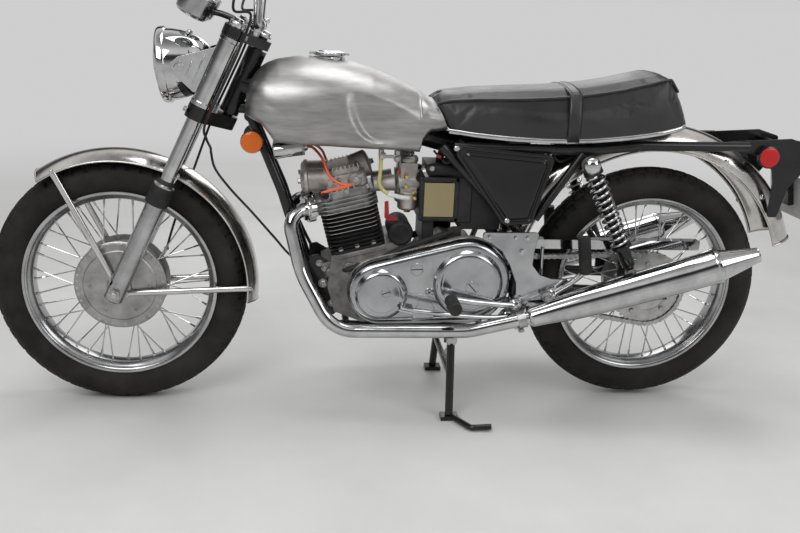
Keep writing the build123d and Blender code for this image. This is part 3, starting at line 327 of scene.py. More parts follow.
class Form:
    """Gathers the corners and faces of one piece."""

    def __init__(self):
        self.verts = []
        self.faces = []

    def add(self, verts, faces):
        """Adds corners, and faces numbered from the first of them."""
        base = len(self.verts)
        self.verts += [Vector(v) for v in verts]
        self.faces += [[base + i for i in face] for face in faces]
        return self

    def grid(self, rows, close_rows=False, close_columns=False, caps=False):
        """Skin over equal rows of points."""
        wide = len(rows[0])
        tall = len(rows)
        verts = [v for row in rows for v in row]
        faces = []
        for i in range(tall if close_rows else tall - 1):
            for j in range(wide if close_columns else wide - 1):
                below, beside = (i + 1) % tall, (j + 1) % wide
                faces.append([i * wide + j, i * wide + beside, below * wide + beside, below * wide + j])
        if caps:
            faces.append(list(range(wide))[::-1])
            faces.append([(tall - 1) * wide + j for j in range(wide)])
        return self.add(verts, faces)

    def lathe(self, origin, direction, profile, steps=48):
        """Turned body: (distance along the axis, radius) corners in metres."""
        direction = Vector(direction).normalized()
        side, other = square_to(direction)
        turns = [2 * pi * k / steps for k in range(steps)]
        rows = []
        for along, radius in profile:
            centre = Vector(origin) + direction * along
            radius = max(radius, LEAST_R)
            rows.append([centre + (side * cos(a) + other * sin(a)) * radius for a in turns])
        return self.grid(rows, close_columns=True, caps=True)

    def tube(self, points, radius, sides=12, closed=False):
        """Round bar along points; radius is one number or one for each point."""
        points = [Vector(p) for p in points]
        count = len(points)
        radii = radius if isinstance(radius, (list, tuple)) else [radius] * count
        normal = None
        rows = []
        for i, point in enumerate(points):
            ahead = points[(i + 1) % count] if closed or i < count - 1 else point
            behind = points[i - 1] if closed or i else point
            run = (ahead - behind).normalized()
            if normal is None:
                normal = square_to(run)[0]
            normal = (normal - run * normal.dot(run)).normalized()
            other = run.cross(normal)
            rows.append([point + (normal * cos(2 * pi * k / sides) + other * sin(2 * pi * k / sides))
                * radii[i]
                         for k in range(sides)])
        return self.grid(rows, close_rows=closed, close_columns=True, caps=not closed)

    def bent(self, points, radius, sides=12, steps=8):
        """Round bar along a smooth curve through points."""
        return self.tube(smooth_line(points, steps), radius, sides)

    def box(self, centre, size, along=(1, 0, 0), up=(0, 0, 1)):
        """Block whose first side runs along a direction."""
        first = Vector(along).normalized()
        third = Vector(up) - first * Vector(up).dot(first)
        third.normalize()
        second = third.cross(first)
        half = [s / 2 for s in size]
        verts = [Vector(centre) + first * (half[0] * i) + second * (half[1] * j) + third * (half[2] * k)
                 for k in (-1, 1) for j in (-1, 1) for i in (-1, 1)]
        return self.add(verts, [[0, 2, 3, 1], [4, 5, 7, 6], [0, 1, 5, 4], [2, 6, 7, 3],
            [0, 4, 6, 2], [1, 3, 7, 5]])

    def plate(self, outline, thick):
        """Flat plate: an outline of points and the vector through its thickness."""
        count = len(outline)
        thick = Vector(thick)
        verts = [Vector(p) for p in outline] + [Vector(p) + thick for p in outline]
        faces = [list(range(count))[::-1], list(range(count, 2 * count))]
        faces += [[i, (i + 1) % count, count + (i + 1) % count, count + i] for i in range(count)]
        return self.add(verts, faces)

    def hexagon(self, centre, direction, across, tall):
        """Hexagon nut or bolt head with a turned-down top and a washer."""
        direction = Vector(direction).normalized()
        self.lathe(centre, direction, [(0, across * 0.68), (WASHER, across * 0.68)], 16)
        start = Vector(centre) + direction * WASHER
        return self.lathe(start, direction, [(0, across / 1.73), (tall * 0.85, across / 1.73),
            (tall, across * 0.47)], 6)

    def screw(self, centre, direction, radius, tall):
        """Cheese-head screw: domed rim around a cross slot sunk by a small cup."""
        return self.lathe(centre, direction, [(0, radius), (tall * 0.7, radius),
            (tall, radius * 0.82), (tall, radius * 0.4),
                                              (tall * 0.4, radius * 0.36)], 16)

    def stack(self, outline, layers, side=1):
        """Outline in side view repeated at each inset and distance across, closed at both ends."""
        rows = [[at(p.x, side * y, p.y) for p in shrunk(outline, inset)] for inset, y in layers]
        return self.grid(rows, close_columns=True, caps=True)

    def placed_object(self, name, material):
        """New object in the scene with the gathered corners and faces."""
        mesh = bpy.data.meshes.new(name)
        mesh.from_pydata([tuple(v) for v in self.verts], [], self.faces)
        mesh.materials.append(material)
        piece = bpy.data.objects.new(name, mesh)
        bpy.context.scene.collection.objects.link(piece)
        return piece

    def done(self, name, material, body="chassis", bevel=0.0, smooth=30.0, slot=None, replaces=()):
        """Makes the piece and says which body it rides on and what it replaces; its slot is looked up but
        not used.
        """
        piece = self.placed_object(name, material)
        work = bmesh.new()
        work.from_mesh(piece.data)
        bmesh.ops.recalc_face_normals(work, faces=work.faces)
        work.to_mesh(piece.data)
        work.free()
        piece.data.shade_smooth()
        piece.data.set_sharp_from_angle(angle=radians(smooth))
        if bevel:
            edge = piece.modifiers.new("bevel", "BEVEL")
            edge.width = bevel
            edge.segments = 2
            edge.limit_method = "ANGLE"
            edge.angle_limit = BEVEL_ANGLE
        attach(piece, body)
        if replaces:
            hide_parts(*replaces)
        slot = slot or SLOT_OF.get(material.name)
        return piece


def square_to(direction):
    """Two unit vectors square to a direction."""
    direction = Vector(direction).normalized()
    helper = UP if abs(direction.z) < 0.9 else Vector((1, 0, 0))
    side = direction.cross(helper).normalized()
    return side, direction.cross(side)


def curve_value(before, start, end, after, t):
    """Smooth value at a share of the way from the start to the end, which passes through both."""
    return 0.5 * (2 * start + (end - before) * t + (2 * before - 5 * start + 4 * end - after) * t * t
                  + (3 * start - before - 3 * end + after) * t ** 3)


def smooth_line(points, steps=8):
    """Points along a smooth curve through the given ones."""
    points = [Vector(p) for p in points]
    line = []
    for i in range(len(points) - 1):
        four = points[max(i - 1, 0)], points[i], points[i + 1], points[min(i + 2, len(points) - 1)]
        line += [curve_value(*four, k / steps) for k in range(steps)]
    line.append(points[-1])
    return line


def table_value(table, column, key):
    """Smooth reading of one column of a table of rows ordered by their first value."""
    keys = [row[0] for row in table]
    if key <= keys[0]:
        return table[0][column]
    if key >= keys[-1]:
        return table[-1][column]
    i = max(k for k in range(len(keys) - 1) if keys[k] <= key)
    near = (max(i - 1, 0), i, i + 1, min(i + 2, len(keys) - 1))
    return curve_value(*(table[k][column] for k in near), (key - keys[i]) / (keys[i + 1] - keys[i]))


def coil(start, run, turns, per_turn, reach, radius):
    """Points along a coil spring."""
    first, second = square_to(run)
    count = int(turns * per_turn)
    points = []
    for k in range(count + 1):
        a = 2 * pi * k / per_turn
        points.append(start + run * (reach * k / count) + (first * cos(a) + second * sin(a)) * radius)
    return points


# Studio
BACKDROP = 0.62
FLOOR_R, FLOOR_DEEP = 40.0, 0.02
FADE_FROM, FADE_TO = 1.6, 5.0
SKY_LIGHT = ((0, 0.2), (0.12, 0.22), (0.2, 0.1), (0.36, 0.13), (0.5, 0.31), (0.75, 0.68), (1, 0.46))
SKY_SEEN = ((0, BACKDROP), (0.1, 0.52), (0.24, 0.24), (0.36, 0.04), (0.54, 0.05),
            (0.64, 0.8), (0.8, 0.75), (1, 0.25))
LAMPS = (("key", (-1.6, -2.6, 3.0), 2.0, 58), ("fill", (2.4, -2.2, 2.2), 1.6, 24),
         ("top", (0.2, 0.2, 3.2), 1.6, 34), ("back", (0.5, 3.0, 2.4), 2.0, 24))
LAMPS_AIM = Vector((0, 0, 0.5))


def seen_directly(tree):
    """One for a ray that shows the background: straight, mirrored or through glass."""
    paths = node_of(tree, "LightPath")
    total = paths.outputs["Is Camera Ray"]
    for name in ("Is Glossy Ray", "Is Transmission Ray"):
        total = maths(tree, "MAXIMUM", total, paths.outputs[name])
    return total


def floor_finish():
    """Pale floor that fades into the backdrop far away from the object."""
    material = finish("floor", (0.62, 0.62, 0.61), (0.68, 0.68, 0.67), 0.0, (0.5, 0.65), 40, 0.02, 2)
    tree = material.node_tree
    shader = next(n for n in tree.nodes if n.type == "BSDF_PRINCIPLED")
    output = next(n for n in tree.nodes if n.type == "OUTPUT_MATERIAL")
    coords = node_of(tree, "TexCoord")
    far = node_of(tree, "VectorMath", ((0, coords.outputs["Object"]),))
    far.operation = "LENGTH"
    fade = node_of(tree, "MapRange", (("Value", far.outputs["Value"]),),
        From_Min=FADE_FROM, From_Max=FADE_TO)
    fade.interpolation_type = "SMOOTHSTEP"
    share = maths(tree, "MULTIPLY", fade.outputs["Result"], seen_directly(tree))
    plain = node_of(tree, "Emission", Color=(BACKDROP, BACKDROP, BACKDROP, 1))
    blend = node_of(tree, "MixShader", ((0, share), (1, shader.outputs["BSDF"]),
        (2, plain.outputs["Emission"])))
    tree.links.new(blend.outputs["Shader"], output.inputs["Surface"])
    return material


def sky_ramp(tree, height, stops):
    """Background whose brightness follows the height of the view."""
    ramp = node_of(tree, "ValToRGB", (("Fac", height),))
    elements = ramp.color_ramp.elements
    elements[0].position, elements[1].position = stops[0][0], stops[-1][0]
    for spot, shade in stops[1:-1]:
        elements.new(spot)
    for element, (spot, shade) in zip(elements, stops):
        element.color = (shade, shade, shade, 1)
    return node_of(tree, "Background", (("Color", ramp.outputs["Color"]),)).outputs["Background"]


def make_floor():
    form = Form()
    rim = [(FLOOR_R * cos(2 * pi * k / 96), FLOOR_R * sin(2 * pi * k / 96)) for k in range(96)]
    form.grid([[Vector((x, y, z)) for x, y in rim] for z in (-FLOOR_DEEP, 0.0)],
              close_columns=True, caps=True)
    form.placed_object("floor", floor_finish())


def make_sky():
    """World light, and the plainer backdrop that direct rays see."""
    world = bpy.data.worlds.new("studio")
    bpy.context.scene.world = world
    world.use_nodes = True
    tree = world.node_tree
    tree.nodes.clear()
    output = node_of(tree, "OutputWorld")
    coords = node_of(tree, "TexCoord")
    height = node_of(tree, "SeparateXYZ", (("Vector", coords.outputs["Generated"]),)).outputs["Z"]
    light = sky_ramp(tree, height, SKY_LIGHT)
    plain = sky_ramp(tree, height, SKY_SEEN)
    mix = node_of(tree, "MixShader", (("Fac", seen_directly(tree)), (1, light), (2, plain)))
    tree.links.new(mix.outputs["Shader"], output.inputs["Surface"])


def make_lamps():
    """Area lamps aimed at the middle of the machine."""
    for name, place, size, power in LAMPS:
        data = bpy.data.lights.new(name, "AREA")
        data.size = size
        data.energy = power
        lamp = bpy.data.objects.new(name, data)
        lamp.location = place
        lamp.rotation_euler = (LAMPS_AIM - Vector(place)).to_track_quat("-Z", "Y").to_euler()
        bpy.context.scene.collection.objects.link(lamp)


make_floor()
make_sky()
make_lamps()
bpy.context.scene.view_settings.view_transform = "Standard"


# Wheels
TYRE_SECTION = ((-33, 246), (-34, 254), (-41, 262), (-48, 272), (-51, 284), (-50.5, 294),
    (-48, 303), (-44.5, 309.5))
CROWN_CHORD, CROWN_EDGE, CROWN_TOP = 44.5, 309.5, 334.0
PITCHES, ROWS_PER_PITCH, TREAD_COLUMNS = 56, 8, 30


def tread_cut(share, row):
    """Depth of the tread's grooves in millimetres at a share across and a row around."""
    wave = abs((row % ROWS_PER_PITCH) / ROWS_PER_PITCH - 0.5) * 2
    for line in (-0.62, -0.22, 0.22, 0.62):
        if abs(share - line - 0.07 * (wave - 0.5)) < 0.045:
            return 4.5
    step = row % ROWS_PER_PITCH
    if abs(share) > 0.66 and step in (0, 1):
        return 4.2
    if 0.26 < abs(share) < 0.58 and step == (4 if share > 0 else 5):
        return 3.2
    if abs(share) < 0.16 and step == 2:
        return 2.4
    return 0.0


def make_tyre(name, node, centre, body):
    rows = []
    count = PITCHES * ROWS_PER_PITCH
    bow = CROWN_TOP - CROWN_EDGE
    crown_r = (CROWN_CHORD ** 2 + bow ** 2) / (2 * bow)
    for row in range(count):
        angle = 2 * pi * row / count
        section = list(TYRE_SECTION)
        for k in range(1, TREAD_COLUMNS):
            share = 2 * k / TREAD_COLUMNS - 1
            y = share * CROWN_CHORD
            height = CROWN_TOP - crown_r + sqrt(crown_r ** 2 - y ** 2)
            section.append((y, height - tread_cut(share, row)))
        section += [(-y, r) for y, r in TYRE_SECTION[::-1]]
        section = [(y, r - 0.9 if abs(y) > 47 and 276 < r < 300 and row % 2 else r) for y, r in section]
        rows.append([around(centre, angle, r / 1000, y / 1000) for y, r in section])
    form = Form().grid(rows, close_rows=True)
    form.done(name, TYRE, body, smooth=28, replaces=(node,))


RIM_SECTION = ((-38, 246.5), (-39.2, 250), (-38.6, 253), (-36.6, 253.6), (-35, 251.5), (-34.4, 247),
    (-33, 243.8), (-31, 242.5),
               (-26, 238), (-21, 231.5), (-14, 229.5), (14, 229.5), (21, 231.5), (26, 238), (31,
                   242.5), (33, 243.8), (34.4, 247),
               (35, 251.5), (36.6, 253.6), (38.6, 253), (39.2, 250), (38, 246.5))
SPOKES = 40
SPOKE_R, NIPPLE_R, NIPPLE_Y = 0.0019, 0.2315, 0.009


def make_rim(name, node, centre, body):
    form = Form()
    steps = 120
    rows = [[around(centre, 2 * pi * k / steps, r / 1000, y / 1000) for y,
             r in RIM_SECTION] for k in range(steps)]
    form.grid(rows, close_rows=True, close_columns=True)
    form.done(name, POLISHED, body, smooth=40, replaces=(node,))


def make_spokes(name, centre, body, flange_r, flange_y, lean):
    """Crossed spokes with elbows at the hub and nipples at the rim."""
    form = Form()
    step = 2 * pi / SPOKES
    for number in range(SPOKES):
        side = -1 if number % 2 else 1
        cross = lean if (number // 2) % 2 else -lean
        rim_a = number * step
        hub_a = rim_a + cross
        hub = around(centre, hub_a, flange_r, side * flange_y)
        rim = around(centre, rim_a, NIPPLE_R, side * NIPPLE_Y)
        run = (rim - hub).normalized()
        form.tube([hub - OUT[side] * 0.006, hub - OUT[side] * 0.001, hub + run * 0.004, rim], SPOKE_R, 7)
        form.tube([rim - run * 0.017, rim - run * 0.004, rim + run * 0.001], [0.0026, 0.0034, 0.0034], 7)
    form.done(name, CHROME, body, smooth=50)


def ring_of(count, centre, radius, start=0.0):
    """Places spaced around a circle in side view."""
    return [around(centre, start + 2 * pi * k / count, radius) for k in range(count)]


for wheel_end, wheel_hub in (("front", FRONT_HUB), ("rear", REAR_HUB)):
    make_tyre(f"{wheel_end}_tyre_tread", f"{wheel_end}_tyre", wheel_hub, f"{wheel_end}_wheel_set")
for wheel_end, wheel_hub in (("front", FRONT_HUB), ("rear", REAR_HUB)):
    make_rim(f"{wheel_end}_rim", f"{wheel_end}_wheel", wheel_hub, f"{wheel_end}_wheel_set")
make_spokes("front_spokes", FRONT_HUB, "front_wheel_set", 0.112, 0.038, radians(11))
make_spokes("rear_spokes", REAR_HUB, "rear_wheel_set", 0.056, 0.041, radians(26))


def make_front_hub():
    form = Form()
    form.lathe(FRONT_HUB, -ACROSS, mm((-40, 104), (-40, 119), (-35, 120), (-34, 108),
        (-14, 98), (14, 98), (34, 108), (35, 120),
                                      (40, 120), (42, 117), (43, 108), (44, 97), (46.5, 94), (47.5,
                                          84), (51, 62), (54, 44),
                                      (55, 33), (60, 30), (61.5, 26), (61.5, 13), (66, 13)), 96)
    for spot in ring_of(6, FRONT_HUB, 0.078):
        form.screw(spot - ACROSS * 0.0478, -ACROSS, 0.0045, 0.003)
    form.done("front_hub", HUB, "front_wheel_set")
    ribs = Form()
    for spot in ring_of(40, FRONT_HUB, 0.108, radians(4.5)):
        out = (spot - FRONT_HUB).normalized()
        ribs.lathe(spot - ACROSS * 0.0405 + out * 0.004, -ACROSS, mm((0, 4.2), (2.2, 4.0), (3.0, 2.6)), 10)
    ribs.done("front_spoke_heads", STEEL, "front_wheel_set", smooth=40)


def make_rear_hub():
    form = Form()
    form.lathe(REAR_HUB, -ACROSS, mm((-46, 40), (-46, 60), (-42, 62), (-41, 54), (-24, 44), (24, 44),
        (40, 54), (41, 62), (46, 60),
                                     (46, 40)), 64)
    form.done("rear_hub", HUB, "rear_wheel_set")
    drum = Form()
    drum.lathe(REAR_HUB + ACROSS * 0.046, ACROSS, mm((0, 86), (3, 88), (22, 88), (25, 84), (26, 60),
        (29, 34), (33, 22), (33, 11)), 72)
    for spot in ring_of(8, REAR_HUB, 0.072, 0.2):
        drum.hexagon(spot + ACROSS * 0.0715, ACROSS, 0.010, 0.005)
    drum.done("rear_drum", HUB, "rear_wheel_set")


make_front_hub()
make_rear_hub()

# Chain and sprocket
CHAIN_Y = -0.066
PITCH = 0.015875
REAR_TEETH, SMALL_TEETH = 40, 19
REAR_PITCH_R = PITCH / (2 * sin(pi / REAR_TEETH))
SMALL_PITCH_R = PITCH / (2 * sin(pi / SMALL_TEETH))
GEAR_SHAFT = at(915, -66, 380)
LINK_R, LINK_WAIST, LINK_THICK = 0.0068, 0.0048, 0.0016
OUTER_LINK_Y, INNER_LINK_Y = 0.0072, 0.0054
TOOTH_SHAPE = (0.0, 0.35, 0.8, 1.0, 1.0, 0.8, 0.35, 0.0)
TOOTH_ROOT, TOOTH_TALL, SPROCKET_BORE, SPROCKET_HALF = 0.0052, 0.0074, 0.062, 0.0032


def chain_path():
    """Points one pitch apart around the two sprockets."""
    small, large = GEAR_SHAFT.copy(), REAR_HUB.copy()
    small.y = large.y = CHAIN_Y
    run = large - small
    gap = run.length
    tilt = atan2(run.z, run.x)
    open_a = asin((REAR_PITCH_R - SMALL_PITCH_R) / gap)
    spots = []
    top = pi / 2 + open_a + tilt
    low = -(pi / 2 + open_a) + tilt
    fine = 600
    for k in range(fine):
        a = top + (low - top) * k / fine
        spots.append(around(large, a, REAR_PITCH_R))
    start = spots[-1]
    end = around(small, low, SMALL_PITCH_R)
    spots += [start.lerp(end, k / fine) for k in range(fine)]
    for k in range(fine):
        a = low - (2 * pi - (top - low)) * k / fine
        spots.append(around(small, a, SMALL_PITCH_R))
    spots += [spots[-1].lerp(spots[0], k / fine) for k in range(fine)]
    total = sum((spots[i] - spots[i - 1]).length for i in range(len(spots)))
    links = 2 * round(total / PITCH / 2)
    step = total / links
    chosen, walked, target = [], 0.0, 0.0
    for i in range(len(spots)):
        length = (spots[i] - spots[i - 1]).length
        while walked + length > target and len(chosen) < links:
            chosen.append(spots[i - 1].lerp(spots[i], (target - walked) / max(length, 1e-9)))
            target += step
        walked += length
    return chosen


def make_chain():
    form = Form()
    spots = chain_path()
    count = len(spots)
    for i, spot in enumerate(spots):
        after = spots[(i + 1) % count]
        run = (after - spot).normalized()
        lift = Vector((-run.z, 0, run.x))
        offset = OUTER_LINK_Y if i % 2 else INNER_LINK_Y
        for side in SIDES:
            outline = []
            for centre, turn in ((spot, 1), (after, -1)):
                for k in range(5):
                    a = turn * pi / 2 + pi * k / 4
                    outline.append(centre + (run * cos(a) + lift * sin(a)) * LINK_R)
                outline.append(spot.lerp(after, 0.5) - lift * (turn * LINK_WAIST))
            form.plate([p + OUT[side] * offset for p in outline], OUT[side] * LINK_THICK)
        form.lathe(spot - ACROSS * 0.005, ACROSS, mm((0, 5), (10, 5)), 10)
        form.lathe(spot - ACROSS * 0.0092, ACROSS, mm((0, 2), (0.3, 2.5), (18.1, 2.5), (18.4, 2)), 8)
    form.done("chain_links", STEEL, smooth=40, replaces=("chain",))


def make_sprocket():
    form = Form()
    centre = REAR_HUB + ACROSS * CHAIN_Y
    steps = REAR_TEETH * 8
    outer, inner = [], []
    for k in range(steps):
        a = 2 * pi * k / steps
        outer.append(around(centre, a, REAR_PITCH_R - TOOTH_ROOT + TOOTH_TALL * TOOTH_SHAPE[k % 8]))
        inner.append(around(centre, a, SPROCKET_BORE))
    rows = [[p + ACROSS * y for p in ring] for ring, y in ((inner, -SPROCKET_HALF), (outer, -SPROCKET_HALF),
                                                           (outer, SPROCKET_HALF), (inner, SPROCKET_HALF))]
    form.grid(rows, close_rows=True, close_columns=True)
    form.lathe(centre + ACROSS * 0.001, ACROSS, mm((-3, 88), (0, 90), (18, 90), (18, 60)), 72)
    for spot in ring_of(5, centre, 0.073, 0.4):
        form.hexagon(spot - ACROSS * 0.002, -ACROSS, 0.012, 0.006)
    form.done("sprocket_ring", STEEL, "rear_wheel_set", replaces=("rear_sprocket",))


make_chain()
make_sprocket()


# Suspension units
SHOCK_TOP, SHOCK_LOW = (1216, 146, 702), (1360, 146, 412)
SPRING_FROM, SPRING_REACH, SPRING_R, SPRING_WIRE = 0.028, 0.206, 0.0222, 0.0037


def make_shock(side):
    word = WORD[side]
    top, low = mirrored(SHOCK_TOP, side), mirrored(SHOCK_LOW, side)
    run = (low - top).normalized()
    spring = Form()
    spring.tube(coil(top + run * SPRING_FROM, run, 11.5, 20, SPRING_REACH, SPRING_R), SPRING_WIRE, 9)
    spring.done(f"shock_spring_{word}", CHROME, smooth=60, replaces=("shocks",))
    body = Form()
    body.lathe(top, run, mm((8, 12), (10, 20), (14, 25), (24, 26), (26, 24), (26, 12),
        (120, 12), (121, 14), (233, 14),
                            (234, 26), (238, 27.5), (243, 27), (246, 19), (298,
                                17.5), (304, 12), (322, 11)), 40)
    body.done(f"shock_body_{word}", PAINT)
    eyes = Form()
    for spot, wide, size in ((top, 0.030, 0.019), (low, 0.024, 0.0145)):
        eyes.lathe(spot - ACROSS * wide / 2, ACROSS, [(0, size), (0.002, size + 0.0015),
            (wide - 0.002, size + 0.0015), (wide, size)], 28)
    eyes.lathe(top, run, mm((-4, 12), (13, 13)), 20)
    eyes.lathe(low, -run, mm((-4, 11), (22, 12)), 20)
    eyes.done(f"shock_eyes_{word}", CAST)
    nuts = Form()
    nuts.lathe(top + OUT[side] * 0.014, OUT[side], mm((0, 22.5), (3, 23.5), (6, 22.8), (10, 20), (14, 15),
        (16.5, 9), (17.5, 1)), 36)
    nuts.hexagon(low + OUT[side] * 0.0122, OUT[side], 0.012, 0.008)
    nuts.done(f"shock_nuts_{word}", CHROME)


for shock_side in SIDES:
    make_shock(shock_side)

# Fuel tank: station, half width, highest, then the edge of its underside: station, lowest
TANK_TABLE = ((334, 58, 838), (336, 76, 852), (340, 92, 866), (350, 106, 889), (364, 118, 908),
    (385, 129, 923), (414, 138, 934), (480, 146, 943),
              (560, 147, 941), (650, 139, 921), (700, 130, 902), (745, 120, 882), (790,
                  110, 862), (828, 102, 846))
TANK_UNDER = ((334, 800), (340, 795), (375, 781), (396, 757), (410, 737), (480, 733), (547, 732),
    (724, 723), (778, 717), (779.5, 742),
              (793, 768), (828, 775))
KNEE_EDGE = ((738, 690), (741, 674), (745, 646), (756, 626), (772, 608), (809, 590), (857, 581), (880, 592),
    (905, 613), (915, 628))
CAP_AT = at(546, 0, 936)
TANK_SHARP = 50
KNEE_Y, KNEE_STATION, KNEE_TAPER, KNEE_WALL = 133.0, 596, 0.119, 30


def eased(value):
    """Soft step from 0 to 1."""
    value = min(max(value, 0.0), 1.0)
    return value * value * (3 - 2 * value)


def straight_value(table, key):
    """Straight reading of a table of pairs."""
    for (start, low), (end, high) in zip(table, table[1:]):
        if key <= end:
            return low + (high - low) * max(key - start, 0) / (end - start)
    return table[-1][1]


def knee_share(station, height):
    """How far a place lies inside the knee recess, from 0 to 1."""
    ahead = eased((station - table_value(KNEE_EDGE, 1, height)) / KNEE_WALL)
    return ahead * eased((height - 731) / 26) * (1 - eased((height - 896) / 24))


def tank_ring(station):
    """Section of the tank at a station, with the knee recess pressed in."""
    half, high = (table_value(TANK_TABLE, k, station) for k in (1, 2))
    low = straight_value(TANK_UNDER, station)
    tall = high - low
    under_r, crown = min(22, 0.3 * tall), 0.56 * tall
    right = [((half - under_r) * k / 6, low) for k in range(6)]
    right += [(half - under_r + under_r * sin(a),
               low + under_r - under_r * cos(a)) for a in (pi / 2 * k / 6 for k in range(6))]
    wall = high - crown - low - under_r
    right += [(half + 2.5 * sin(pi * k / 16), low + under_r + wall * k / 16) for k in range(16)]
    for k in range(21):
        a = pi / 2 * k / 20
        right.append((half * cos(a) ** (2 / 2.35), high - crown + crown * sin(a) ** (2 / 2.1)))
    slant = 0.455 * eased((station - 770) / 55)
    ring = []
    for side in (1, -1):
        flank = right[1:] if side > 0 else right[-2::-1]
        for y, z in flank:
            limit = KNEE_Y - KNEE_TAPER * (station - KNEE_STATION)
            y -= knee_share(station, z) * max(0.0, y - limit)
            ring.append(at(station + slant * (823 - z), side * y, z))
    return ring


def settled(piece):
    """New mesh of a piece with its modifiers applied."""
    return bpy.data.meshes.new_from_object(piece.evaluated_get(bpy.context.evaluated_depsgraph_get()))


def cut_away(piece, centre, size, lean=0.0):
    """Cuts a box out of a closed piece."""
    bpy.ops.mesh.primitive_cube_add(size=1, location=centre, rotation=(0, lean, 0))
    cutter = bpy.context.active_object
    cutter.scale = size
    cut = piece.modifiers.new("cut", "BOOLEAN")
    cut.object = cutter
    cut.operation = "DIFFERENCE"
    cut.solver = "EXACT"
    bpy.context.view_layer.update()
    made = settled(piece)
    piece.modifiers.remove(cut)
    piece.data = made
    bpy.data.objects.remove(cutter)


def make_tank():
    stations = [334, 334.7, 336, 338, 341, 345, 350, 356] + [363 + 6 * k for k in range(69)]
    stations += [776, 778.9, 779.6, 783, 788, 794, 800, 807, 814, 821, 828]
    form = Form().grid([tank_ring(s) for s in stations], close_columns=True, caps=True)
    tank = form.done("tank_shell", TANK, smooth=TANK_SHARP, replaces=("fuel_tank",))
    cut_away(tank, at(576.6, 0, 733), (0.66, 0.088, 0.2), radians(14.1))
    cut_away(tank, at(345, 0, 900), (0.106, 0.068, 0.24))
    tank.data.shade_smooth()
    tank.data.set_sharp_from_angle(angle=radians(TANK_SHARP))


def make_filler():
    neck = Form()
    neck.lathe(CAP_AT, UP, mm((0, 40), (6, 40), (8.5, 38), (9, 33)), 48)
    neck.done("filler_neck", CHROME)
    cap = Form()
    cap.lathe(CAP_AT + UP * 0.0105, UP, mm((0, 37), (1, 40.5), (6.5, 40.5), (8.5, 39), (9.5, 35), (10, 30),
        (12, 27), (12.6, 18), (12.8, 1)), 56)
    for k in range(28):
        a = 2 * pi * k / 28
        out = Vector((cos(a), sin(a), 0))
        cap.box(CAP_AT + UP * 0.0155 + out * 0.0405, (0.0022, 0.0034, 0.007), along=out)
    cap.box(at(503, 0, 953), (0.016, 0.018, 0.008))
    cap.lathe(at(497, -13, 952), ACROSS, mm((0, 4), (26, 4)), 16)
    cap.box(at(590, 0, 951), (0.012, 0.014, 0.006))
    cap.done("cap_lid", CHROME, "cap", bevel=0.0007, replaces=("filler_cap",))


make_tank()
make_filler()

# Seat: station, lower half width, upper half width, lowest, edge height, crown height
SEAT_TABLE = (
    (809, 94, 86, 778, 838, 850), (818, 99, 91, 775, 843, 856), (850, 106, 98, 770, 850,
        864), (915, 116, 108, 763, 856, 872),
    (1010, 125, 117, 757, 860, 879), (1110, 129, 121, 755, 866, 885), (1200, 130, 121, 757, 876,
        893), (1290, 129, 120, 765, 891, 907),
    (1360, 127, 118, 774, 908, 923), (1410, 125, 115, 783, 920, 932), (1440, 121, 110, 790, 917,
        930), (1466, 114, 100, 797, 906, 918),
    (1479, 104, 88, 803, 888, 899))
SEAT_ROWS = 92
SEAT_FRONT, SEAT_LONG = 809, 670
STRAP_STATIONS, STRAP_PROUD = (1152, 1155, 1160, 1176, 1181, 1184), 3.4
STITCH_STATIONS, STITCHES = (1158, 1178), 34
PINNED_TALL, SETTLE_FRAMES = 0.03, 20
TRIM_STATIONS = range(850, 1478, 10)
TRIM_SECTION = ((0.2, -2), (2.6, 0), (3.4, 3.2), (3.4, 6), (2.4, 9), (0.4, 10.5))


def seat_values(station):
    """Lower and upper half width, lowest, edge and crown height of the seat at a station."""
    return [table_value(SEAT_TABLE, k, station) for k in range(1, 6)]


def crowned(t, edge, crown):
    """Height of the seat's top at a share of the way across."""
    return edge + (crown - edge) * max(1 - (2 * t - 1) ** 2, 0) ** 0.8


def seat_ring(station):
    """Section of the seat at a station, from its crown round its base."""
    low_half, top_half, low, edge, crown = seat_values(station)
    points = []
    for k in range(13):
        t = k / 12
        points.append((-top_half + 2 * top_half * t, crowned(t, edge, crown)))
    side = []
    for k in range(1, 9):
        t = k / 8
        belly = 3.2 * sin(pi * t)
        side.append((top_half + (low_half - top_half) * t + belly, edge + (low - edge) * t))
    base = [(low_half - 12 - 2 * (low_half - 12) * k / 8, low - 2) for k in range(9)]
    ring = points + side + base + [(-y, z) for y, z in side[::-1]]
    return [at(station, y, z) for y, z in ring]


def leant(point):
    """Slants the seat's front and rear faces."""
    station, z = point.x * 1000 + AXLE_STATION, point.z * 1000
    front = 0.57 * (855 - z) * (1 - eased((station - SEAT_FRONT) / 66))
    rear = 0.36 * max(z - 807, 0) * eased((station - 1400) / 80)
    return point + Vector(((front - rear) / 1000, 0, 0))


def make_cushion():
    stations = [SEAT_FRONT + SEAT_LONG * k / SEAT_ROWS for k in range(SEAT_ROWS + 1)]
    rows = [[leant(point) for point in seat_ring(s)] for s in stations]
    form = Form().grid(rows, close_columns=True, caps=True)
    seat = form.done("seat_cushion", VINYL, smooth=70, replaces=("seat",))
    puff(seat, voxel=0.005, pressure=4.0, cap=0.005)


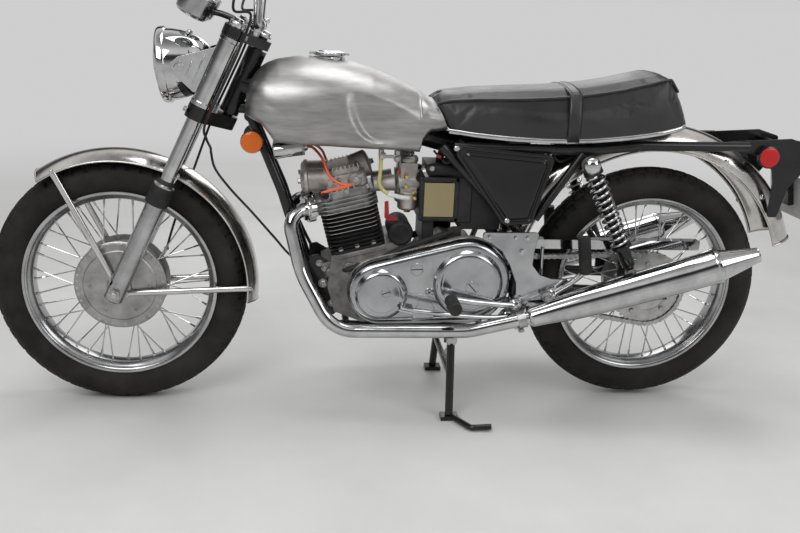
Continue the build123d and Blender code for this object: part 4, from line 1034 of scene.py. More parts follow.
def make_seat_edge():
    piping = Form()
    for side in SIDES:
        line = []
        for s in range(812, 1474, 12):
            half, edge = table_value(SEAT_TABLE, 2, s), table_value(SEAT_TABLE, 4, s)
            line.append(leant(at(s, side * (half + 0.6), edge + 0.8)))
        tail = [leant(at(1480.5, side * y, z)) for y, z in ((82, 889.5), (64, 893), (32, 897.5), (0, 899))]
        piping.tube(smooth_line(line + tail, 3), 0.0034, 8)
    piping.done("seat_piping", VINYL, smooth=60)
    trim = Form()
    for side in SIDES:
        for section in (TRIM_SECTION, ((-1.5, -2), (-1.5, 10.5))):
            rows = []
            for s in TRIM_STATIONS:
                half, low = table_value(SEAT_TABLE, 1, s), table_value(SEAT_TABLE, 3, s)
                rows.append([at(s, side * (half + o), low + z) for o, z in section])
            trim.grid(rows)
    trim.done("seat_trim", CHROME, smooth=50)


def make_seat_strap():
    strap = Form()
    rows = []
    for s in STRAP_STATIONS:
        proud = 0.6 if s in (STRAP_STATIONS[0], STRAP_STATIONS[-1]) else STRAP_PROUD
        low_half, top_half, low, edge, crown = seat_values(s)
        flank = ((low_half + proud, low + 2), (low_half + proud + 3.0, low + (edge - low) * 0.5))
        row = [at(s, -y, z) for y, z in flank]
        for k in range(17):
            t = k / 16
            y = (-top_half - proud) + 2 * (top_half + proud) * t
            row.append(at(s, y, crowned(t, edge, crown) + 1.2 + proud))
        row += [at(s, y, z) for y, z in flank[::-1]]
        rows.append(row)
    strap.grid(rows)
    band = strap.done("seat_strap", VINYL, smooth=60)
    thick = band.modifiers.new("thick", "SOLIDIFY")
    thick.thickness = 0.002
    thick.offset = 1
    for side in SIDES:
        stitch = Form()
        for s in STITCH_STATIONS:
            low_half, top_half, low, edge, crown = seat_values(s)
            for k in range(STITCHES):
                t = 0.5 + 0.5 * k / STITCHES
                y = side * (top_half + STRAP_PROUD) * (2 * t - 1)
                place = at(s, y, crowned(t, edge, crown) + 6.5)
                stitch.lathe(place, OUT[side], mm((0, 0.7), (3, 0.7)), 6)
        stitch.done(f"seat_stitches_{WORD[side]}", RUBBER, smooth=35)


def puff(piece, voxel, pressure, cap):
    """Swells a closed soft piece with cloth pressure, and keeps the settled mesh."""
    lowest = min(v.co.z for v in piece.data.vertices)
    soft = piece.modifiers.new("remesh", "REMESH")
    soft.mode = "VOXEL"
    soft.voxel_size = voxel
    bpy.context.view_layer.update()
    made = settled(piece)
    piece.modifiers.clear()
    made.materials.clear()
    made.materials.append(piece.data.materials[0])
    piece.data = made
    rest = [v.co.copy() for v in made.vertices]
    pinned_z = lowest + PINNED_TALL
    pins = piece.vertex_groups.new(name="pins")
    for index, corner in enumerate(rest):
        pins.add([index], 1.0 if corner.z < pinned_z else 0.0, "REPLACE")
    cloth = piece.modifiers.new("cloth", "CLOTH")
    cloth.settings.use_pressure = True
    cloth.settings.uniform_pressure_force = pressure
    cloth.settings.vertex_group_mass = "pins"
    cloth.settings.effector_weights.gravity = 0
    cloth.settings.quality = 4
    for number in range(1, SETTLE_FRAMES + 1):
        bpy.context.scene.frame_set(number)
    moved = settled(piece)
    piece.modifiers.clear()
    for corner, origin in zip(moved.vertices, rest):
        shift = corner.co - origin
        if shift.length > cap:
            corner.co = origin + shift * (cap / shift.length)
    piece.data = moved
    finer = piece.modifiers.new("finer", "SUBSURF")
    finer.levels = finer.render_levels = 1
    bpy.context.view_layer.update()
    piece.data = settled(piece)
    piece.modifiers.clear()
    piece.data.shade_smooth()
    bpy.context.scene.frame_set(1)


make_cushion()
make_seat_edge()
make_seat_strap()

# Side panels
PANEL_OUTLINE = ((848, 744), (1130, 722), (1080, 540), (1004, 534))
PANEL_FACE_Y = 131.0


def rounded(outline, radius, steps=6):
    """Corners of a flat outline, rounded."""
    count = len(outline)
    made = []
    for i in range(count):
        corner = Vector(outline[i])
        before = (Vector(outline[i - 1]) - corner).normalized()
        after = (Vector(outline[(i + 1) % count]) - corner).normalized()
        half = before.angle(after) / 2
        reach = min(radius / (sin(half) / cos(half)), 0.45 * (Vector(outline[i - 1]) - corner).length)
        real = reach * sin(half) / cos(half)
        centre = corner + (before + after).normalized() * (real / sin(half))
        start, end = corner + before * reach - centre, corner + after * reach - centre
        turn = start.angle_signed(end)
        for k in range(steps + 1):
            a = turn * k / steps
            made.append(centre + Vector((start.x * cos(a) + start.y * sin(a),
                -start.x * sin(a) + start.y * cos(a))))
    return made


def shrunk(outline, by):
    """Outline moved inwards by a distance."""
    count = len(outline)
    middle = sum((Vector(p) for p in outline), Vector((0, 0))) / count
    made = []
    for i in range(count):
        here = Vector(outline[i])
        run = (Vector(outline[(i + 1) % count]) - Vector(outline[i - 1])).normalized()
        out = Vector((run.y, -run.x))
        if out.dot(here - middle) < 0:
            out = -out
        made.append(here - out * by)
    return made


def outward(start, end, middle):
    """Unit vector along a side, and the one square to it that points away from the middle."""
    run = (Vector(end) - Vector(start)).normalized()
    out = Vector((run.y, -run.x))
    return run, out if out.dot(Vector(start) - middle) >= 0 else -out


def inner_corners(outline, by):
    """Corners of a flat outline once each side has moved inwards."""
    count = len(outline)
    middle = sum((Vector(p) for p in outline), Vector((0, 0))) / count
    made = []
    for i in range(count):
        lines = []
        for start, end in ((outline[i - 1], outline[i]), (outline[i], outline[(i + 1) % count])):
            run, out = outward(start, end, middle)
            lines.append((Vector(start) - out * by, run))
        (p, u), (q, v) = lines
        cross = u.x * v.y - u.y * v.x
        made.append(p + u * (((q - p).x * v.y - (q - p).y * v.x) / cross))
    return made


def make_panel(side):
    word = WORD[side]
    form = Form()
    loops = ((0, -10), (0, -2.2), (0.8, -0.8), (2.4, 0), (7, 0), (9, -1.0), (10.5, -3.2), (13, -3.6),
             (15.5, -2.4), (18, 1.6), (21, 3.0), (26, 3.4),
             (48, 3.8))
    rows = []
    for inset, proud in loops:
        ring = rounded(inner_corners(PANEL_OUTLINE, inset), max(18 - inset * 0.5, 5))
        rows.append([at(p.x, side * (PANEL_FACE_Y + proud), p.y) for p in ring])
    form.grid(rows, close_columns=True, caps=True)
    form.done(f"side_panel_{word}", GLOSS, smooth=38, replaces=("side_panels",))
    bolts = Form()
    for spot in ((1012, 548), (868, 735)):
        bolts.lathe(at(spot[0], side * (PANEL_FACE_Y - 1), spot[1]), OUT[side],
                    mm((0, 7), (2, 7), (3.4, 5), (3.6, 1)), 20)
    bolts.done(f"panel_screws_{word}", CHROME)


for panel_side in SIDES:
    make_panel(panel_side)

# Headlamp
LAMP_AXIS = Vector((-cos(radians(5)), 0, -sin(radians(5))))
FORK_AXIS = Vector((sin(radians(25)), 0, cos(radians(25))))
FORK_BACK = Vector((cos(radians(25)), 0, -sin(radians(25))))


def on_leg(distance, y=0.0, back=0.0):
    """Point up the fork from the front axle, in millimetres."""
    return FRONT_HUB + FORK_AXIS * (distance / 1000) + FORK_BACK * (back / 1000) + ACROSS * (y / 1000)


LAMP_CENTRE = on_leg(636) + Vector((-0.121, 0, 0))
LAMP_PIVOT = LAMP_CENTRE - LAMP_AXIS * 0.028
LENS_R, LENS_RIBBED_R = 86.5, 74
LEG_Y = 93


def make_headlamp():
    shell = Form()
    shell.lathe(LAMP_CENTRE, LAMP_AXIS, mm((-105, 12), (-104.5, 24), (-101, 36), (-94, 47.5), (-84, 57.5),
        (-70, 67.5), (-52, 76.5),
                                          (-32, 83.5), (-10, 88), (6, 89.6), (8, 89.6), (8, 84)), 72)
    shell.done("headlamp_shell", CHROME, "steering_head", smooth=32, replaces=("headlamp",))
    rim = Form()
    rim.lathe(LAMP_CENTRE, LAMP_AXIS, mm((6, 88), (6, 93.5), (8, 94.8), (12, 95), (20, 95), (24, 94),
        (27, 91.5), (28.5, 88), (28.5, 85.5),
                                        (25, 85)), 72)
    rim.done("headlamp_rim", CHROME, "steering_head", smooth=32)
    bowl = Form()
    bowl.lathe(LAMP_CENTRE, LAMP_AXIS, mm((-40, 4), (-38, 20), (-30, 40), (-14, 62), (6, 78), (22, 85)), 64)
    bowl.done("headlamp_bowl", CHROME, "steering_head", smooth=60)
    lens = Form()
    first, second = square_to(LAMP_AXIS)
    rows = []
    for ring in range(19):
        radius = LENS_R * ring / 18
        dome = 26 + 16 * (1 - (radius / LENS_R) ** 2)
        row = []
        for k in range(96):
            a = 2 * pi * k / 96
            lift = 0.7 * sin(radius * cos(a) * 0.55) if radius < LENS_RIBBED_R else 0.0
            row.append(LAMP_CENTRE + LAMP_AXIS * ((dome + lift) / 1000) + (first * cos(a) + second * sin(a))
                       * (max(radius, 0.5) / 1000))
        rows.append(row)
    lens.grid(rows, close_columns=True, caps=False)
    lens.done("headlamp_lens", LENS, "steering_head", smooth=60)


def make_headlamp_details():
    trims = Form()
    for side in SIDES:
        trims.hexagon(LAMP_PIVOT + OUT[side] * 0.098, OUT[side], 0.017, 0.009)
        trims.lathe(LAMP_PIVOT + OUT[side] * 0.083, OUT[side], mm((0, 8), (12, 8)), 20)
    trims.done("headlamp_bolts", CHROME, "steering_head")
    lights = Form()
    for y in (-22, 0, 22):
        spot = LAMP_CENTRE - LAMP_AXIS * 0.045 + ACROSS * (y / 1000) + UP * (0.0783 - 0.00006 * abs(y))
        lights.lathe(spot, UP, mm((-3, 6.5), (1.5, 6.5), (3, 5), (4.5, 3.2), (5, 0.6)), 20)
    lights.done("headlamp_lights", CHROME, "steering_head", smooth=40)


make_headlamp()
make_headlamp_details()

# Instruments
POD_LEAN = radians(29)
POD_AXIS = Vector((sin(POD_LEAN), 0, cos(POD_LEAN)))
DIAL_BACK = Vector((cos(POD_LEAN), 0, -sin(POD_LEAN)))
NEEDLE_ANGLE = radians(215)


def pod_foot(side):
    """Middle of the underside of one instrument."""
    return on_leg(720, side * 58, -112)


def dial_way(angle):
    """Unit vector on the dials at an angle from the machine's right."""
    return ACROSS * cos(angle) - DIAL_BACK * sin(angle)


def make_instruments():
    cups, bezels, dials, marks, panes = Form(), Form(), Form(), Form(), Form()
    for side in SIDES:
        foot = pod_foot(side)
        cups.lathe(foot, POD_AXIS, mm((0, 30), (2, 35), (8, 40.5), (20, 42.5), (50, 42.8), (54, 42.8)), 56)
        bezels.lathe(foot, POD_AXIS, mm((53, 41), (53, 43), (55, 43.4), (60, 43.4), (62, 42.4), (62.4, 39),
            (60.5, 38.2), (57, 38)), 56)
        face = foot + POD_AXIS * 0.0555
        dials.lathe(face, POD_AXIS, mm((0, 38.4), (0.4, 38.4)), 56)
        panes.lathe(face, POD_AXIS, mm((2.6, 38.2), (3.4, 38.2)), 48)
        for k in range(25):
            out = dial_way(radians(225 - 270 * k / 24))
            long = 0.006 if k % 4 == 0 else 0.0032
            marks.box(face + POD_AXIS * 0.0007 + out * (0.0345 - long / 2),
                      (long, 0.0011 if k % 4 else 0.0017, 0.0004), along=out, up=POD_AXIS)
        out = dial_way(NEEDLE_ANGLE)
        marks.box(face + POD_AXIS * 0.0014 + out * 0.012, (0.030, 0.0014, 0.0006), along=out, up=POD_AXIS)
        marks.lathe(face + POD_AXIS * 0.0006, POD_AXIS, mm((0, 4), (1.6, 3.6)), 20)
    cups.done("instrument_cups", POLISHED, "steering_head", replaces=("instruments",))
    bezels.done("instrument_bezels", CHROME, "steering_head")
    dials.done("instrument_dials", DARK, "steering_head")
    marks.done("instrument_marks", DIAL_WHITE, "steering_head")
    panes.done("instrument_glass", LENS, "steering_head")


def make_instrument_bracket():
    bracket = Form()
    outline = [on_leg(746.4, y, back) for back, y in ((19, -30), (19, 30), (-15, 30), (-15, -30))]
    bracket.plate(outline, FORK_AXIS * 0.012)
    for side in SIDES:
        foot = pod_foot(side)
        bracket.bent([on_leg(754, side * 24, 2), on_leg(757, side * 38, -26), on_leg(750, side * 50, -66),
            foot + POD_AXIS * 0.004], 0.006, 12, 6)
    bracket.done("instrument_bracket", PAINT, "steering_head", bevel=0.0008, smooth=40)


make_instruments()
make_instrument_bracket()

# Engine
CYL_LEAN = radians(14)
CYL_BASE = at(627, 0, 454)
CYL_UP = Vector((-sin(CYL_LEAN), 0, cos(CYL_LEAN)))
CYL_BACK = Vector((cos(CYL_LEAN), 0, sin(CYL_LEAN)))
CRANK, CLUTCH = at(687, 0, 350), at(915, 0, 380)


def on_engine(back, up, y=0.0):
    """Point beside the cylinders, in millimetres back from their axis and up from their base."""
    return CYL_BASE + (CYL_BACK * back + CYL_UP * up + ACROSS * y) / 1000


FIN_PITCH, FIN_LOW, HEAD_FIN_LOW = 10.6, 14, 110.3
FRONT_CAP_AXIS = (on_engine(-98, 206) - on_engine(-30, 196)).normalized()
REAR_CAP_AXIS = (on_engine(80, 206) - on_engine(30, 200)).normalized()


def slab(form, foot, size, corner, edge=0.6, steps=6):
    """Rounded slab square to the cylinders, with softened edges; its foot and sizes in millimetres."""
    long, wide, tall = size
    ring = []
    for cx, cy, start in ((1, 1, 0), (-1, 1, 90), (-1, -1, 180), (1, -1, 270)):
        for k in range(steps + 1):
            a = radians(start + 90 * k / steps)
            ring.append((cx * (long / 2 - corner) + corner * cos(a),
                cy * (wide / 2 - corner) + corner * sin(a)))
    rows = []
    for inset, high in ((edge, 0), (0, edge), (0, tall - edge), (edge, tall)):
        rows.append([on_engine(foot[0] + x * (1 - 2 * inset / long), foot[1] + high,
            y * (1 - 2 * inset / wide))
                     for x, y in ring])
    form.grid(rows, close_columns=True, caps=True)


def make_barrel():
    barrel = Form()
    slab(barrel, (0, 0), (128, 186, 106), 30)
    slab(barrel, (0, 0), (146, 196, 9), 20, 1.2)
    for number in range(9):
        slab(barrel, (0, FIN_LOW + number * FIN_PITCH), (152, 208, 2.6), 34, 0.7, 8)
    barrel.done("barrel_fins", BLACK_FIN, smooth=40, slot="black_fins", replaces=("cylinder_barrel",))
    nuts = Form()
    for back, y in ((-66, -70), (-66, -24), (-66, 24), (-66, 70), (66, -70), (66, -24), (66, 24), (66, 70)):
        nuts.hexagon(on_engine(back, 9, y), CYL_UP, 0.012, 0.008)
    for back in (-44, 0, 44):
        for side in SIDES:
            nuts.hexagon(on_engine(back, 9, side * 95), CYL_UP, 0.011, 0.008)
    nuts.done("barrel_nuts", STEEL)


def make_head():
    head = Form()
    slab(head, (0, 106.3), (132, 190, 60), 28, 2)
    for number in range(4):
        slab(head, (0, HEAD_FIN_LOW + number * FIN_PITCH), (160, 208, 2.8), 34, 0.8, 8)
    head.done("head_fins", HEAD_FIN, smooth=40, replaces=("cylinder_head",))
    # Bright alloy strips on the edges of the head fins and the upper barrel fins: painted highlight where
    # light catches the upper fins; the lower barrel fins keep plain black edges.
    edges = Form()
    for low, long, numbers in ((HEAD_FIN_LOW, 160.7, range(4)), (FIN_LOW, 152.7, range(4, 9))):
        for number in numbers:
            slab(edges, (0, low + number * FIN_PITCH + 0.7), (long, 208.7, 1.2), 34.3, 0.2, 8)
    edges.done("fin_edge_highlights", BRIGHT, smooth=40, slot="cast_alloy")


def make_rocker_box():
    box = Form()
    slab(box, (8, 158), (112, 172, 44), 22, 5)
    slab(box, (8, 196), (92, 150, 26), 20, 7)
    for k in range(9):
        for side in SIDES:
            box.box(on_engine(-40 + 11 * k, 217, side * 66), (0.0026, 0.026, 0.014),
                    along=CYL_BACK, up=CYL_UP)
    for side in SIDES:
        box.lathe(on_engine(-30, 196, side * 62), FRONT_CAP_AXIS,
                  mm((0, 27), (20, 28), (56, 30), (58, 33.4), (64, 33.8), (67, 32), (69, 28.5),
                                                            (74, 25), (76.5, 18), (77, 1)), 40)
        for k in range(5):
            spot = on_engine(-34 + 15 * k, 162, side * 89)
            box.box(spot + CYL_UP * 0.012, (0.004, 0.012, 0.030), along=CYL_BACK, up=CYL_UP)
        for back in (-22, 34):
            box.lathe(on_engine(back, 186, side * 84), OUT[side],
                      mm((0, 17), (6, 17), (8.5, 15), (9, 1)), 28)
            box.lathe(on_engine(back - 14, 178, side * 84), OUT[side], mm((0, 6), (7, 6), (8, 5)), 14)
            box.lathe(on_engine(back + 14, 194, side * 84), OUT[side], mm((0, 6), (7, 6), (8, 5)), 14)
        box.lathe(on_engine(-60, 128.3, side * 58), -CYL_BACK,
                  mm((-10, 24), (14, 24), (18, 22), (22, 21)), 32)
    box.lathe(on_engine(30, 200), REAR_CAP_AXIS, mm((0, 34), (36, 36), (44, 36), (47, 33), (50, 28),
        (53, 12), (53.4, 1)), 40)
    box.done("rocker_box", CAST, smooth=35)


def make_head_nuts():
    bits = Form()
    for side in SIDES:
        for back in (-22, 34):
            for step_back, step_up in ((-14, -8), (14, 8)):
                bits.hexagon(on_engine(back + step_back, 186 + step_up, side * 92), OUT[side], 0.009, 0.006)
            bits.hexagon(on_engine(back, 186, side * 92.6), OUT[side], 0.012, 0.005)
        bits.hexagon(on_engine(-104, 206.8, side * 62), FRONT_CAP_AXIS, 0.013, 0.008)
        for back, y in ((-52, 44), (-52, 80), (58, 44), (58, 80), (4, 92)):
            bits.hexagon(on_engine(back, 156, side * y), CYL_UP, 0.013, 0.010)
    bits.hexagon(on_engine(83, 206.4), REAR_CAP_AXIS, 0.013, 0.008)
    bits.done("head_nuts", STEEL)


def make_spark_plugs():
    plugs, caps, leads = Form(), Form(), Form()
    for side in SIDES:
        low, high = on_engine(-40, 150, side * 92), on_engine(-58, 176, side * 122)
        run = (high - low).normalized()
        plugs.lathe(low, run, mm((0, 7), (16, 7)), 16)
        plugs.lathe(low + run * 0.012, run, mm((0, 11), (7, 11), (8, 8), (14, 6)), 6)
        caps.lathe(low + run * 0.019, run, mm((0, 8), (3, 9.5), (16, 9), (22, 8), (26, 8.5), (28, 5)), 20)
        end = low + run * 0.046
        line = smooth_line([end, at(604, side * 117, 634), at(578, side * 112, 633),
            at(548, side * 96, 652), at(530, side * 70, 690),
                            at(505, side * 30, 712), at(484, side * 22, 712)], 8)
        leads.tube(line, 0.0036, 10)
    plugs.done("spark_plugs", STEEL)
    caps.done("plug_caps", RUBBER, smooth=35)
    leads.done("plug_leads", ORANGE_LEAD, smooth=60)


make_barrel()
make_head()
make_rocker_box()
make_head_nuts()
make_spark_plugs()


# Primary drive cover
CRANK_COVER_R, CLUTCH_COVER_R = 90, 118


def cover_ring(grow, y):
    """Outline round the two wheels of the primary drive, grown by a distance, at a place across."""
    first, second = CRANK, CLUTCH
    run = second - first
    turn = atan2(run.z, run.x)
    open_a = asin((CLUTCH_COVER_R - CRANK_COVER_R) / 1000 / run.length)
    ring = []
    for k in range(41):
        a = turn - pi / 2 - open_a + (pi + 2 * open_a) * k / 40
        ring.append(around(second, a, (CLUTCH_COVER_R + grow) / 1000, y / 1000))
    for k in range(33):
        a = turn + pi / 2 + open_a + (pi - 2 * open_a) * k / 32
        ring.append(around(first, a, (CRANK_COVER_R + grow) / 1000, y / 1000))
    return ring


def make_primary_cover():
    inner = Form().grid([cover_ring(g, y) for g, y in ((0, -94.3), (0, -110.8), (-0.8, -111.6),
        (-30, -111.6))], close_columns=True, caps=True)
    inner.done("primary_inner", CAST, smooth=35, replaces=("primary_cover",))
    outer = Form()
    layers = ((-1.2, -112.3), (-0.2, -113), (-0.2, -117.5), (-1.6, -118.6), (-2.2, -122), (-2.6, -133),
              (-4.2, -139.5), (-7.4, -145),
              (-11.6, -148.8), (-17, -151), (-22, -151.8), (-40, -152))
    outer.grid([cover_ring(g, y) for g, y in layers], close_columns=True, caps=True)
    outer.lathe(CRANK - ACROSS * 0.150, -ACROSS, mm((0, 70.5), (2, 69), (4.2, 66.4), (8, 64.2), (11.5, 61),
        (13.8, 56.4), (14.6, 51), (13.6, 47.5),
                                                      (13.2, 45), (13.4, 30), (13.6, 0.5)), 80)
    outer.lathe(CLUTCH - ACROSS * 0.150, -ACROSS, mm((0, 95), (2, 93), (5, 90.2), (9, 87.6), (12.6, 84),
        (15.2, 79), (16, 73), (14.8, 69.6),
                                                       (14.2, 66), (14.6, 40), (14.8, 0.5)), 96)
    outer.done("primary_outer", COVER, smooth=42)
    seam = Form().grid([cover_ring(g, y) for g, y in ((-1.4, -111.4), (-1.0, -112.4))], close_columns=True)
    seam.done("primary_gasket", DARK, smooth=40)


def make_primary_plugs():
    plugs = Form()
    # Dark strips laid on the plug and screw faces: painted shade standing in for the inside of their slots.
    marks = Form()
    for station, z, y, radius, slot_a in ((778, 419.7, -152, 19, 4), (698, 358.2, -163.4, 14, 20),
        (924.6, 374, -164.4, 20, -48)):
        spot = at(station, y, z)
        plugs.lathe(spot, -ACROSS, mm((-1, radius), (0.6, radius), (0.8, radius - 1.2), (0.5, radius - 2.2),
            (1.6, radius - 3), (1.9, radius - 5),
                                      (2.0, 0.5)), 36)
        a = radians(slot_a)
        marks.box(spot - ACROSS * 0.0021, ((radius - 4) / 500, 0.0006, 0.0024), along=(cos(a), 0, sin(a)))
    screw = at(813.5, -151.4, 356.7)
    plugs.lathe(screw, -ACROSS, mm((-1, 12.5), (1.5, 12.5), (2.6, 11), (3.2, 8.6), (2, 7.4), (2.2, 1)), 28)
    for turn in (35, 125):
        a = radians(turn)
        marks.box(screw - ACROSS * 0.0026, (0.011, 0.0006, 0.0022), along=(cos(a), 0, sin(a)))
    plugs.done("primary_plugs", COVER)
    marks.done("primary_plug_slot_shade", DARK)
    panel = Form()
    outline = [(786, 352), (800, 352), (818, 336), (832, 305), (826, 283), (770, 276),
               (772, 300), (784, 322)]
    panel.plate([at(s, -151.6, z) for s, z in outline], -ACROSS * 0.0024)
    panel.done("primary_patch", COVER, bevel=0.0012)


make_primary_cover()
make_primary_plugs()


# Crankcase, starter, timing side and gearbox details
def make_crankcase_top():
    case = Form()
    slab(case, (6, -16), (152, 192, 15), 14, 2)
    case.box(at(566, 0, 398), (0.062, 0.150, 0.04), along=(cos(0.3), 0, sin(0.3)))
    case.lathe(at(604, -60, 404), -ACROSS, mm((0, 18), (34, 17), (38, 14), (40, 1)), 24)
    case.lathe(at(556, -50, 386), -ACROSS, mm((0, 15), (36, 15), (40, 11)), 20)
    case.done("crankcase_top", CASE, bevel=0.003, smooth=40)


def make_engine_plates():
    plates = Form()
    for side in SIDES:
        outline = [(498, 428), (520, 432), (566, 404), (598, 372), (598, 296), (566, 262), (536, 268),
                   (520, 330), (502, 372)]
        plates.plate([at(s, side * 60, z) for s, z in outline], OUT[side] * 0.005)
        outline = [(742, 446), (830, 470), (872, 520), (900, 522), (900, 452), (800, 440)]
        plates.plate([at(s, side * 86, z) for s, z in outline], OUT[side] * 0.005)
    plates.done("engine_plates", PAINT, bevel=0.001)
    bolts = Form()
    for side in SIDES:
        for station, z, size in ((536, 352, 0.019), (542, 394, 0.015), (526, 408, 0.014),
            (560, 296, 0.015)):
            bolts.hexagon(at(station, side * 65, z), OUT[side], size, 0.009)
            bolts.lathe(at(station, side * 70, z), OUT[side], mm((0, 4), (9, 4), (10, 3)), 12)
    for station, z in ((618, 410), (670, 424), (726, 436)):
        bolts.hexagon(at(station, -94, z), -ACROSS, 0.012, 0.006)
    bolts.done("engine_bolts", STEEL)
    hose = Form()
    hose.bent([at(590, -88, 398), at(612, -101, 406), at(680, -103, 432), at(770, -103, 472),
               at(850, -98, 500), at(884, -80, 512)], 0.0078, 14)
    hose.done("case_hose", RUBBER, smooth=60)


def make_starter():
    starter = Form()
    starter.lathe(at(736.9, 19, 502), -ACROSS, mm((0, 24), (2, 31), (6, 32), (96, 32), (98, 33.5),
        (116, 33.5), (122, 31), (125, 27), (126, 24),
                                                  (124.6, 21), (124.6, 1)), 48)
    starter.done("starter_body", BLACK_FIN, smooth=32, replaces=("starter_motor",))
    gasket = Form()
    gasket.plate([at(s, -88, z) for s, z in ((693, 584), (703, 586), (706, 548), (728, 542), (726, 534),
        (700, 534), (694, 542))], ACROSS * 0.004)
    gasket.done("starter_gasket", RED_CAP)


def make_right_covers():
    timing = Form()
    outline = rounded(((606, 296), (640, 266), (742, 266), (776, 308), (776, 392),
        (702, 440), (618, 430), (592, 360)), 22)
    timing.stack(outline, ((0, 94.4), (0, 112), (1, 113), (0, 114), (0, 117), (3, 121),
        (8, 122.2), (34, 122.5)))
    timing.lathe(CRANK + ACROSS * 0.120, ACROSS, mm((0, 63), (3, 62), (10, 59), (14, 54), (15.4, 47),
        (15, 42), (15.4, 1)), 64)
    timing.done("timing_shell", COVER, smooth=42, replaces=("timing_cover",))
    screws = Form()
    for spot in shrunk(outline, 8)[::7]:
        screws.screw(at(spot.x, 121.6, spot.y), ACROSS, 0.0055, 0.004)
    for k in range(3):
        a = radians(90 + 120 * k)
        screws.screw(CRANK + ACROSS * 0.1348 + Vector((cos(a), 0, sin(a))) * 0.047, ACROSS, 0.0045, 0.003)
    gear_outline = rounded(((820, 330), (850, 306), (930, 306), (962, 340), (962, 400), (925, 448),
        (860, 452), (822, 420)), 20)
    for spot in shrunk(gear_outline, 9)[3::8]:
        screws.screw(at(spot.x, 111.4, spot.y), ACROSS, 0.0055, 0.004)
    screws.done("case_screws", STEEL)
    gear = Form()
    gear.stack(gear_outline, ((0, 78), (0, 95), (1, 96), (0, 97), (0, 104), (4, 109),
        (12, 111.4), (40, 111.8)))
    gear.lathe(at(946, 104, 372), ACROSS, mm((0, 24), (8, 22), (12, 17), (17, 14)), 32)
    gear.lathe(at(850, 104, 350), ACROSS, mm((0, 19), (8, 17), (12, 13), (17, 11)), 32)
    gear.lathe(at(890, 108, 420), ACROSS, mm((0, 22), (4, 22), (6, 20), (6.6, 1)), 32)
    gear.done("gearbox_cover", COVER, smooth=40)


make_crankcase_top()
make_engine_plates()
make_starter()
make_right_covers()


# Carburettors, fuel line, filter and intake
CARB_STATION, CARB_Y = 757, 44


def make_carburettors():
    bodies, brass, rubber = Form(), Form(), Form()
    for side in SIDES:
        y = side * CARB_Y
        start, end = on_engine(83, 152, y), at(734, y, 628)
        run = (end - start).normalized()
        bodies.lathe(start, run, mm((-6, 19), (20, 19), (30, 20), (50, 22)), 28)
        bodies.lathe(at(730, y, 628), (1, 0, 0.09), mm((0, 24), (10, 25), (12, 27), (16, 27), (18, 24),
            (60, 24), (62, 26), (68, 26)), 32)
        bodies.box(at(CARB_STATION, y, 640), (0.044, 0.042, 0.086))
        bodies.lathe(at(CARB_STATION, y, 555), UP, mm((0, 12), (1, 22), (6, 26.5), (44, 27), (46, 29),
            (50, 29), (52, 25)), 32)
        bodies.lathe(at(CARB_STATION, y, 682), UP, mm((0, 22), (4, 25), (12, 25), (14, 23), (18, 22),
            (19, 12), (26, 8)), 28)
        brass.hexagon(at(CARB_STATION, y, 555), -UP, 0.017, 0.006)
        brass.hexagon(at(CARB_STATION - 8, y - 22, 622), -ACROSS, 0.010, 0.006)
        brass.hexagon(at(CARB_STATION + 12, y - 22, 606), -ACROSS, 0.009, 0.006)
        brass.lathe(at(748, y - 21, 650), -ACROSS, mm((0, 5), (8, 5), (10, 3), (20, 2.6),
            (22, 4.4), (26, 4.4)), 16)
        brass.lathe(at(774, y - 20, 590), -ACROSS, mm((0, 6), (7, 6), (9, 4)), 16)
        rubber.lathe(at(797.6, y, 634.1), (1, 0, 0.09),
            mm((-6, 27), (-4, 28), (4, 28), (6, 26), (24, 27), (28, 27)), 32)
    bodies.done("carb_bodies", CAST, bevel=0.001, smooth=32, replaces=("carburettors",))
    brass.done("carb_brass", BRASS, smooth=32)
    rubber.done("carb_rubbers", RUBBER, smooth=40)


def make_fuel_line():
    line = smooth_line([at(681, -72, 712), at(680, -78, 665), at(678, -84, 630), at(694, -88, 610),
        at(726, -86, 598), at(752, -74, 592),
                        at(760, -66, 590)], 8)
    hose = Form()
    hose.tube(line[:28], 0.0052, 12)
    hose.done("fuel_hose", FUEL_LINE, smooth=60)
    sleeve = Form()
    sleeve.tube(line[26:44], 0.0062, 12)
    sleeve.done("fuel_sleeve", DIAL_WHITE, smooth=60)
    metal = Form()
    metal.lathe(at(681, -72, 718), -UP, mm((0, 7), (14, 7), (16, 6), (26, 6), (30, 5)), 16)
    metal.lathe(at(686, -78, 704), -ACROSS, mm((0, 9), (5, 9), (6, 6), (8, 1)), 20)
    metal.box(at(700, -82, 702), (0.03, 0.006, 0.008))
    metal.hexagon(at(722, -78, 696), -ACROSS, 0.014, 0.008)
    metal.lathe(at(724, -70, 716), -UP, mm((0, 9), (10, 9), (12, 6), (24, 6)), 16)
    metal.done("fuel_tap", STEEL, smooth=32)


